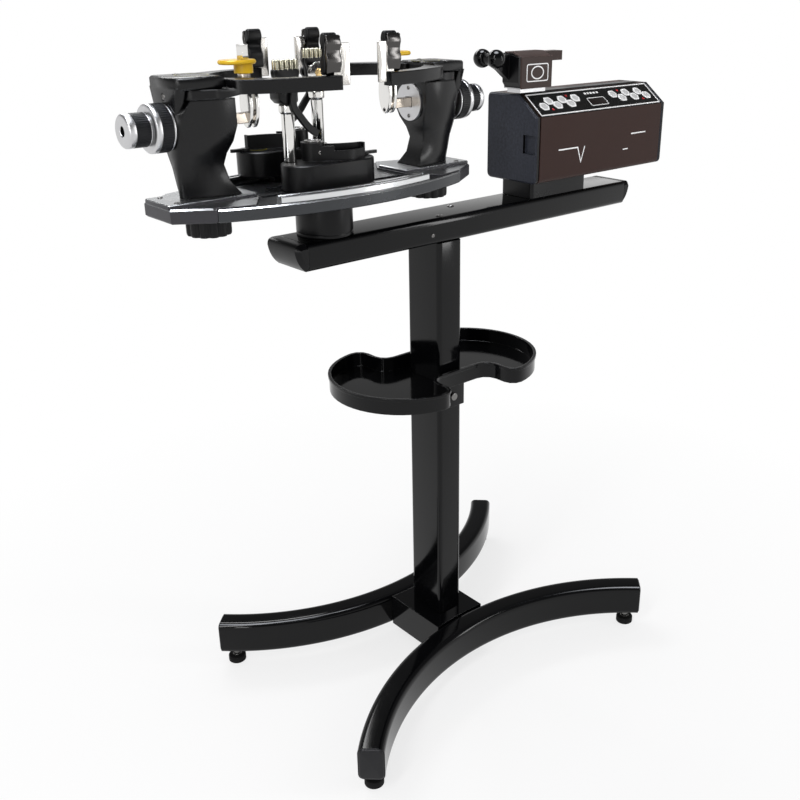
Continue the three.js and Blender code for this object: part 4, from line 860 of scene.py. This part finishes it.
def ridged_rail(toward):
    """The section, one half and its mirror image, carried along an arc about a point across the pivot."""
    half = math.asin(RAIL_HALF / RAIL_END_RADIUS)
    angle = np.linspace(-half, half, 65)
    side = np.stack([np.sin(angle), toward * np.cos(angle), np.zeros_like(angle)], axis=-1)
    path = RAIL_RADIUS * side + [PIVOT, -toward * RAIL_CENTRE, 0]
    section = np.vstack([RAIL_HALF_SECTION, RAIL_HALF_SECTION[::-1] * [-1, 1]])
    return skin(sweep(path, side, section))


for row, toward in ROWS.items():
    put("rail_extrusion_" + row, [ridged_rail(toward)], ["rail_metal"], "rail_" + row)
print("rail length", 2 * RAIL_HALF, "mm")

# %% [markdown]
# ## Posts
# The end posts are satin black castings with a waist, a flat inner face and a cover plate. The solid
# already has the loft, so a merged copy carries the paint. Added are the small things that tell a
# casting from a block: a plated retaining disc round the square bar, screws and a thin printed ring.

# %% Post castings
SHOULDER, SHOULDER_LIFT = 905, 15.0
LIFT_END, LIFT_FADE = 199, 9
DISC_LEVEL, DISC_RADIUS, DISC_NEAR, DISC_FAR = 893, 24.5, 133.6, 140
HOLE_HALF = 6.6
COVER_LEVEL = 943.6


def high_shoulder(home):
    """A finer place for a post's corners: those at the shoulder rise, by less near the outer face."""
    def lifted(corners):
        at_shoulder = np.abs(corners[:, 2] - SHOULDER) < 0.5
        share = np.clip((LIFT_END - np.abs(corners[:, 0] - home)) / LIFT_FADE, 0, 1)
        return corners + np.outer(at_shoulder * share, [0, 0, SHOULDER_LIFT])

    return lifted


def span(side, near, far):
    """Two distances outward from the middle of an end as places along x, the lower one first."""
    return sorted((HOME[side] + SIDES[side] * near, HOME[side] + SIDES[side] * far))


def retaining_disc(near, far):
    """A flat ring from a circle to a square, whose radius is its half side over the larger one of
    the cosine and the sine."""
    turn = np.linspace(0, 2 * math.pi, 96, endpoint=False)
    circle = np.stack([np.cos(turn), np.sin(turn)], axis=-1)
    square = circle * HOLE_HALF / np.abs(circle).max(axis=1, keepdims=True)
    middle = [0, DISC_LEVEL]
    return flat_ring(middle + DISC_RADIUS * circle, middle + square, near, far, "x")


for side, way in SIDES.items():
    home, body = HOME[side], "post_" + side + "_body"
    dress("post_" + side, "post_black", crease=58, moved=high_shoulder(home))
    details = [retaining_disc(*span(side, DISC_NEAR, DISC_FAR))]
    for level in (DISC_LEVEL - 18, DISC_LEVEL + 18):
        place = (home + way * (DISC_NEAR + 0.2), 0, level)
        details.append(socket_screw(place, 2.6, 1.2, "x", -way, 1))
    put("retaining_disc_" + side, details, ["silver_ring", "dark_steel"], body=body)
    rings = [ellipse(home + way * 168, 4, radius) for radius in (20, 17.6)]
    cover = flat_ring(*rings, COVER_LEVEL, COVER_LEVEL + 0.55, "z")
    put("cover_ring_" + side, [cover], ["olive_ink"], body=body)
    heads = [socket_screw((home + way * 176, y, COVER_LEVEL + 0.2), 3.4, 1.0) for y in (-26.5, 26.5)]
    heads.append(socket_screw((home + way * 204.6, 0, 923), 3.6, 2.2, "x", way))
    put("post_screws_" + side, heads, ["dark_steel"], body=body)

# %% [markdown]
# ## Knobs on the posts
# Two knobs sit on one axis: the big one closes the claws and the small one drives the square bar.
# Each has a knurled black band between silver rings, made with the same waving radius as the flutes,
# only finer.

# %% Knobs
POST_FACE, AXLE_LEVEL = 207, 890.5
FLANGE_LINE = soft_line([(0.4, 8), (0.4, 25.6), (2.8, 25.6), (2.8, 8)], 0.7)
BIG_BAND = [(2.6, 20), (2.8, 26.2), (3.4, 26.8), (16.2, 26.8), (16.8, 26.2), (17, 20)]
RIM_LINE = soft_line([(16.6, 8), (16.6, 26.9), (22.6, 26.9), (24, 24.6), (24, 8)], 1.5)
COLLAR_LINE = soft_line([(24.3, 7), (24.3, 17.6), (26, 17.6), (26, 7)], 0.5)
SMALL_BAND = [(25.8, 12), (26, 18.2), (26.6, 18.7), (42.4, 18.7), (43, 18.2), (43.2, 12)]
CUP_LINE = soft_line([
    (42.8, 8), (42.8, 18.9), (49.6, 18.9), (52, 16.6), (52, 6.4), (51.2, 5.5), (44.6, 5.5), (44.4, 0.3),
], 1.2)
CUP_BANDS = [0] * (len(CUP_LINE) - 5) + [2] * 4


def turned(side, line, points=96, wave=None, kinds=0):
    """A profile measured outward from a post's outer face, spun about the axis of its knobs."""
    placed = np.array(line, float) * [SIDES[side], 1] + [SIDES[side] * POST_FACE, 0]
    return spin(placed, (HOME[side], 0, AXLE_LEVEL), "x", points, wave, kinds)


def knurled(side, line, count):
    """A black band with count fine ridges, six points each."""
    return turned(side, line, count * 6, flutes(count, 0.014), 1)


for side in SIDES:
    big = [turned(side, FLANGE_LINE), knurled(side, BIG_BAND, 60), turned(side, RIM_LINE)]
    put("claw_knob_" + side + "_turned", big, ["silver_ring", "knurl_black"],
        "claw_knob_" + side, 30)
    small = [
        turned(side, [(-16, 6.9), (24.4, 6.9)], 32), turned(side, COLLAR_LINE, 72),
        knurled(side, SMALL_BAND, 44), turned(side, CUP_LINE, 72, kinds=CUP_BANDS),
    ]
    put("support_knob_" + side + "_turned", small, ["silver_ring", "knurl_black", "satin_black"],
        "support_knob_" + side, 30)
print("knobs reach", POST_FACE + 52, "mm from the middle of their end")

# %% [markdown]
# ## Arms
# The fork arms are flat castings whose long edges are rounded by filing. The Bevel node in their
# paint rounds the shading by three millimetres, which costs no faces.

# %% Arms
ROOT_LEVEL, ROOT_SQUEEZE = 925.5, 0.74


def thin_root(corners):
    """Squeezes the heights below the root level, so that the root clears the post's shoulder."""
    depth = np.maximum(ROOT_LEVEL - corners[:, 2], 0)
    return corners + np.outer(depth * ROOT_SQUEEZE, [0, 0, 1])


ARMS = [(side, row) for side in SIDES for row in ROWS]
for side, row in ARMS:
    dress(f"arm_{side}_{row}", "arm_black", crease=44, moved=thin_root)
print("arms:", len(ARMS))

# %% [markdown]
# ## Claws
# A claw is a moulded black pad with a notch, a polished backing behind it and a flat bright bar that
# hangs past the arm's end. Their sections are smooth closed curves through a few points, pushed along
# the arm.

# %% Claws
CLAW_FOOT, CLAW_HIGH = 941.3, 46
PAD_INNER, PAD_WIDE, BACK_INNER, BACK_WIDE = 74, 10, 84.5, 6.2
PAD_SHARES = np.array([(0.02, 0.02), (0, 0.2), (0, 0.38), (0.5, 0.57), (0.02, 0.76), (0.14, 0.93),
                       (0.5, 1.0), (0.88, 0.95), (1, 0.8), (0.8, 0.57), (1, 0.34), (0.9, 0.05)])
BACK_SHARES = np.array([(0.0, 0.02), (0.03, 0.34), (-0.28, 0.57), (0.03, 0.8), (0.35, 0.95), (0.8, 0.86),
                        (1.0, 0.74), (0.62, 0.57), (1.0, 0.36), (0.7, 0.14), (0.35, 0.03)])

for side, row in ARMS:
    name, toward = side + "_" + row, ROWS[row]
    ends, bar_ends, tie_ends = (span(side, *outs) for outs in ((28, 48), (15, 28), (26, 38)))
    pad = flowing(PAD_SHARES * [PAD_WIDE, CLAW_HIGH] + [PAD_INNER, CLAW_FOOT], 6) * [toward, 1]
    put("claw_grip_" + name, [slab(pad, *ends, 2.6, "x", steps=6)], ["moulded_black"],
        "claw_pad_" + name, 36)
    back = flowing(BACK_SHARES * [BACK_WIDE, CLAW_HIGH] + [BACK_INNER, CLAW_FOOT], 6) * [toward, 1]
    low, high = sorted((toward * 84.3, toward * 87.8))
    bar = rectangle(bar_ends, (930, 976.3), 1.5)
    tie = rectangle(tie_ends, (CLAW_FOOT + 0.1, 976), 1)
    skins = [slab(back, *ends, 2.0, "x", 0, 6), slab(bar, low, high, 0.9, "y", 1),
             slab(tie, low, high, 0.5, "y", 1)]
    put("claw_backing_" + name, skins, ["claw_steel", "bright_bar"], "claw_back_" + name, 36)

# %% [markdown]
# ## Centre supports
# A square steel bar slides out of each post. It ends in two polished oval plates, and a threaded pin
# between them carries the yellow nylon pad and its nut. Straight pieces are slabs, round ones turned.

# %% Centre supports
OVAL_OUT, OVAL_LEVEL, OVAL_RADIUS, OVAL_HIGH = 98.5, 908, 12, 27
BAR_HALF, BAR_LEVEL = 6, 893
PIN_LINE = soft_line([(926, 5), (930.6, 5), (930.6, 7.5), (942.6, 7.5), (942.6, 5), (972, 5)], 0.4)
NUT_LINE = soft_line([(958.4, 5), (958.4, 7.4), (974.3, 7.4), (974.3, 5)], 0.7)

for side, way in SIDES.items():
    x = HOME[side] + way * OVAL_OUT
    oval = ellipse(0, OVAL_LEVEL, OVAL_RADIUS, 72, OVAL_HIGH / OVAL_RADIUS)
    plates = [slab(oval, *span(side, OVAL_OUT + near, OVAL_OUT + near + 4.5), 1.2, "x", 0, 5)
              for near in (-6.5, 2)]
    square = rectangle((-BAR_HALF, BAR_HALF), (BAR_LEVEL - BAR_HALF, BAR_LEVEL + BAR_HALF), 1)
    bar = slab(square, *span(side, OVAL_OUT + 2, OVAL_OUT + 64.5), 0.4, "x", 1)
    hub = spin([(x - 2.4, 8), (x + 2.4, 8)], (0, 0, BAR_LEVEL), "x", 40, kinds=1)
    pin_place = (x + way * 4.5, 0, 0)
    pin = spin(PIN_LINE, pin_place, points=32, kinds=1)
    nut = spin(NUT_LINE, pin_place, points=6)
    screws = [socket_screw((x - way * 6.3, 0, level), 2.4, 1.0, "x", -way, 2)
              for level in (OVAL_LEVEL - 22, OVAL_LEVEL + 22)]
    put("support_built_" + side, [*plates, bar, hub, pin, nut, *screws],
        ["chrome", "warm_steel", "satin_black"], "support_" + side, 30)
    dress("support_pad_" + side, "yellow_nylon", crease=38)
print("supports:", len(SIDES))

# %% [markdown]
# ## Clamps
# Both clamp units are the same part, one turned half round and standing higher. So each piece is
# drawn once about the middle of its base, and a helper turns and moves it, as the CAD does.

# %% Clamp places
CLAMPS = {"front": (-195.5, -22.0, 0.0, 1), "back": (-206.5, 61.0, 8.0, -1)}
POST_X, POST_Y = -44.5, 17.0


def settle(name, skins, row, finishes, stands_for=None, crease=CREASE, body=None):
    """Puts skins drawn about a base's middle, turned by none or half a turn, moved and raised."""
    x, y, raised, turn = CLAMPS[row]
    moved = [(corners * [turn, turn, 1] + [x, y, raised], faces, marks) for corners, faces, marks in skins]
    node, body = stands_for and f"{stands_for}_{row}", body and f"clamp_{row}_{body}_body"
    put(f"{name}_{row}", moved, finishes, node, crease, body)


print("clamps:", len(CLAMPS))

# %% [markdown]
# ## Jaws with teeth
# Two jaws with five rounded teeth each close on one another. A tooth is a turned peg with a domed
# end, and each row stands on a flat plate that narrows toward its foot.

# %% Jaws
JAW_TOP, JAW_HALF, TOOTH_STEP, TEETH = 945, 17, 6.8, 5
TOOTH_LINE = [(943, 2.5), (952.2, 2.7)] + dome(2.7, 953, 956)
HEAD_SIDE = np.array([(-11, 905.3), (7, 905.3), (10, 908.3), (10, 921.3), (-17, 921.3), (-17, 911.3)])


def jaw(low, near, far):
    """A plate in x and z pushed along y, and the domed pegs along its top."""
    half = np.array([(13, low), (14, 932), (JAW_HALF, 938), (JAW_HALF, JAW_TOP)])
    plate = np.vstack([half, half[::-1] * [-1, 1]]) + [POST_X, 0]
    skins = [slab(rounded(plate, 3), POST_Y + near, POST_Y + far, 0.6, "y")]
    for i in range(TEETH):
        place = (POST_X + JAW_HALF - 2.9 - TOOTH_STEP * i, POST_Y + (near + far) / 2, 0)
        skins.append(spin(TOOTH_LINE, place, points=20, kinds=1))
    return skins


block = slab(rounded(HEAD_SIDE + [POST_X, 0], 1.5), POST_Y - 11, POST_Y + 11, 1.8, "y")
for row in CLAMPS:
    settle("clamp_head_built", [block] + jaw(919, -5.5, -0.5), row, ["satin_black", "tooth_steel"],
           "clamp_head", 34)
    settle("clamp_jaw_built", jaw(921.7, 0.5, 5.5), row, ["satin_black", "tooth_steel"],
           "clamp_jaw", 34)
print("teeth:", 2 * TEETH * len(CLAMPS))

# %% [markdown]
# ## Clamp posts, levers and bases
# The posts are chromed and turned with a collar. The lever is one forging with the cam on the far
# side: the black bow and the chromed half disc are told apart by which side of the head they are on.

# %% Clamp posts and bases
CLAMP_POST_LINE = soft_line([
    (836.3, 6), (836.3, 8), (893.4, 8), (895.6, 10.5), (903.6, 10.5), (905, 9), (905, 6),
], 0.9)
BOSS_LINE = soft_line([(33, 2), (33, 5.5), (34.4, 5.5), (34.8, 3.4), (34.8, 0.4)], 0.5)
LOCK_LINE = soft_line([(857.8, 5), (857.8, 10.5), (860, 10.5), (860, 7), (859.4, 6.6), (859.4, 1)], 0.4)
CAM_START = 6.1


def cam_side(row):
    """A test that is 1 for the cam and the shaft, and 0 for the bowed lever."""
    _, y, _, turn = CLAMPS[row]
    return lambda middle, normal: (middle[:, 1] - y) * turn > CAM_START


post = spin(CLAMP_POST_LINE, (POST_X, POST_Y, 0), points=56)
boss = spin(BOSS_LINE, (POST_X + 6, 0, 927), "y", 32)
base_ring = flat_ring(ellipse(36, -4, 12), ellipse(36, -4, 10.6), 835.6, 836.15, "z")
base_details = [base_ring, spin(LOCK_LINE, (-14.5, 11, 0), points=40, kinds=1),
                socket_screw((-14.5, -3.6, 846), 2.4, 1.0, "y", -1, 1)]
for row in CLAMPS:
    settle("clamp_post_turned", [post], row, ["chrome"], "clamp_post", 34)
    dress("clamp_lever_" + row, "satin_black", "chrome", where=cam_side(row), crease=40)
    settle("cam_boss", [boss], row, ["brass"], body="lever")
    dress("clamp_base_" + row, "cast_black", crease=36)
    settle("base_details", base_details, row, ["yellow_ink", "dark_steel"], body="base")
    dress("clamp_latch_" + row, "satin_black", crease=36)

# %% [markdown]
# ## The tension box
# The housing is a bent sheet with a sloping front panel, closed by two textured caps. The slope and
# the black seam bands are found by the direction of their faces.

# %% Housing and caps
TRACK_LEVEL = 890.05
INLET_X, INLET_LEVEL, INLET_DEPTH = 425, 785, (38, 51.4)
PIN_SHIFTS = ((-7, -3), (7, -3), (0, 4))


def housing_zones(middle, normal):
    """1 on the sloping panel, 2 on the carriage track and in the socket, 0 on the brown sheet."""
    x, y, z = middle.T
    slope = (normal[:, 1] < -0.5) & (normal[:, 2] > 0.5)
    socket = (np.abs(x - INLET_X) < 17) & (np.abs(z - INLET_LEVEL) < 14)
    socket = socket & (y > INLET_DEPTH[0]) & (y < INLET_DEPTH[1])
    return slope * 1 + ((z > TRACK_LEVEL) | socket) * 2


def seam_zones(middle, normal):
    """1 on the faces that don't look along the box."""
    return np.abs(normal[:, 0]) < 0.3


dress("tension_housing", "box_brown", "panel_black", "satin_black", where=housing_zones, crease=30)
for side in SIDES:
    dress("tension_cap_" + side, "cap_grey", "satin_black", where=seam_zones, crease=34)
dress("tension_pedestal", "satin_black", crease=38)
pins = [spin([(42, 1.6), (49, 1.6)], (INLET_X + shift, 0, INLET_LEVEL + rise), "y", 16)
        for shift, rise in PIN_SHIFTS]
put("inlet_pins", pins, ["brass"], body="stand")
print("inlet pins:", len(pins))

# %% [markdown]
# ## The printed keypad
# The panel is printed film: a thin white border, two groups of six pale keys, small red arrows and a
# dark window. Each mark is a slab a few tenths of a millimetre high, drawn in panel coordinates,
# along x and up the slope, and laid on it with one matrix product.

# %% Panel coordinates
PANEL_FOOT = np.array([0.0, -51.5, 860.0])
PANEL_DEPTH, PANEL_RISE = 38.5, 30.0
PANEL_LONG = math.hypot(PANEL_DEPTH, PANEL_RISE)
PANEL_UP = np.array([0.0, PANEL_DEPTH, PANEL_RISE]) / PANEL_LONG
PANEL_OUT = np.array([0.0, -PANEL_RISE, PANEL_DEPTH]) / PANEL_LONG
PRINT_LOW = -0.1
KEY_SHARES = np.array([(-1, 0), (-0.55, -0.755), (0.55, -0.755), (1, 0), (0.55, 0.755), (-0.55, 0.755)])


def on_panel(part):
    """Lays a skin on the slope: x stays, the second number goes up the slope, the third out of it."""
    corners, faces, marks = part
    return PANEL_FOOT + corners @ np.stack([[1, 0, 0], PANEL_UP, PANEL_OUT]), faces, marks


def frame_line(across, up, width, corner, high=0.35):
    """A rounded rectangle and the same moved inward by the line's width, as a flat ring."""
    outside = rectangle(across, up, corner)
    return flat_ring(outside, inward(outside, width), PRINT_LOW, high, "z")


def key(x, s, size=9.8, high=0.7, kind=0):
    """A hexagon with soft corners; a smaller higher one on it is the key's grey middle."""
    shape = rounded(KEY_SHARES * size + [x, s], 1.6, 4)
    return slab(shape, PRINT_LOW, high, 0.3, "z", kind, 3)


def arrow(x, s, up):
    """A small triangle that points up or down the slope."""
    shape = rounded([(x - 2.6, s - 2 * up), (x + 2.6, s - 2 * up), (x, s + 2.4 * up)], 0.4, 2)
    return slab(shape, PRINT_LOW, 0.45, 0.1, "z", 1, 2)


print("panel is", round(PANEL_LONG, 1), "mm from foot to top")

# %% [markdown]
# ## Laying out the keypad
# The keys of a group zigzag, so that their corners nest like honeycomb. A list says where they are,
# and the window and its small lights sit between the groups.

# %% Keypad
KEYS = [(186, 20), (203, 30), (216, 20.2), (233, 30.2), (246.5, 20.6), (263.5, 30.4),
        (353, 30), (369.5, 21), (386, 31), (400, 20.6), (416.5, 31), (431, 20.8)]
ARROWS = [(199.6, 13.2, 1), (248, 36.4, -1), (370.8, 36.6, -1), (416.5, 14.4, 1)]
LIGHTS = [290 + 7.2 * i for i in range(5)]
marks = [
    frame_line((165.6, 450.4), (2.2, 46.6), 2.1, 1.2), *(key(*place) for place in KEYS),
    *(key(*place, 6.47, 0.9, 3) for place in KEYS), *(arrow(*place) for place in ARROWS),
    frame_line((287, 328), (10.8, 27.6), 1.1, 3),
    slab(rectangle((290, 325), (13.4, 25), 1.5), PRINT_LOW, 0.25, 0.1, "z", 2),
    *(slab(rectangle((x, x + 4.6), (35.4, 39.2), 0.8), PRINT_LOW, 0.4, 0.15, "z", 0, 2) for x in LIGHTS),
]
inks = ["white_ink", "red_ink", "window_dark", "key_grey"]
put("keypad_print", [on_panel(mark) for mark in marks], inks, body="stand")
print("keypad marks:", len(marks))

# %% [markdown]
# ## Lines on the front
# Two plain white lines cross the brown front, one of them with a sharp V, and a third is a short
# dash. A line is a strip: its points moved half a width to either side along the mean normal.

# %% Front lines
FRONT_LINES = [
    ([(203.8, 809.5), (247.2, 809.3), (255.6, 787), (263.4, 809.9)], 2.0),
    ([(376.8, 818), (414.1, 818)], 1.9),
    ([(358, 795.2), (370.4, 795.2)], 1.6),
]
INK_FACE, INK_ROOT = -51.75, -51.4


def ink_strip(points, width):
    """The two edges of a bent line: its points plus and minus half the width times the miter normal,
    the sum of the neighbouring normals over one plus their cosine."""
    points = np.asarray(points, float)
    along = np.diff(points, axis=0)
    along = along / lengths(along)
    normal = np.stack([-along[:, 1], along[:, 0]], axis=-1)
    first, last = np.vstack([normal[:1], normal]), np.vstack([normal, normal[-1:]])
    miter = (first + last) / np.maximum(1 + (first * last).sum(1, keepdims=True), 0.35)
    return points + miter * width / 2, points - miter * width / 2


ribbons = []
for points, width in FRONT_LINES:
    upper, lower = ink_strip(points, width)
    edges = [stand(upper, INK_FACE, "y"), stand(upper, INK_ROOT, "y"),
             stand(lower, INK_ROOT, "y"), stand(lower, INK_FACE, "y")]
    ribbons.append(skin(np.stack(edges, axis=1)))
put("front_lines", ribbons, ["white_ink"], body="stand")
print("lines:", len(ribbons))

# %% [markdown]
# ## The tension head
# The carriage is a brown block with a black bracket in front and a bright slide below, told apart
# by where a face lies along the beam and how low it is. A plain framed ring is printed on its face.

# %% Tension head
BRACKET_END, SLIDE_TOP, BADGE_FACE = 146.2, 899.9, -25


def head_zones(middle, normal):
    """1 for the bracket, 2 for the slide block, 0 for the body and the wing."""
    x, _, z = middle.T
    return (x < BRACKET_END) * 1 + ((z < SLIDE_TOP) & (x > BRACKET_END)) * 2


def upright(part):
    """Turns a skin drawn in the level plane to stand on the head's face, toward the operator."""
    corners, faces, marks = part
    return np.stack([corners[:, 0], BADGE_FACE - corners[:, 2], corners[:, 1]], axis=-1), faces, marks


dress("tension_head", "head_brown", "satin_black", "silver_ring", where=head_zones, crease=34)
rings = ellipse(180.5, 920, 13.5, 64, 0.7), ellipse(180.5, 920, 11.7, 64, 0.655)
badge = [
    frame_line((157.5, 203.5), (907.5, 932.5), 1.5, 4, 0.25), flat_ring(*rings, PRINT_LOW, 0.25, "z"),
]
put("head_print", [upright(part) for part in badge], ["white_ink"], body="tension_head_body")
print("badge parts:", len(badge))

# %% [markdown]
# ## The ball spool
# Two glossy balls sit on one axle. Each is cut flat toward the bracket and has a narrow neck there,
# so the whole spool is one turned line of radii.

# %% Ball spool
BALL_RADIUS, BALL_OUT = 13, 14
SPOOL_PLACE = (106, 0, 941)
polar = np.radians(np.linspace(-88, 37, 26))
ball = np.stack([BALL_RADIUS * np.sin(polar) - BALL_OUT, BALL_RADIUS * np.cos(polar)], axis=-1)
half = np.vstack([ball, [(-5.4, 8.6), (-4.9, 6.4), (-4.85, 4)]])
spool = spin(np.vstack([half, half[::-1] * [-1, 1]]), SPOOL_PLACE, "y")
put("ball_spool", [spool], ["gloss_black"], "gripper_spool", 34)
print("spool width", 2 * (BALL_RADIUS + BALL_OUT), "mm")
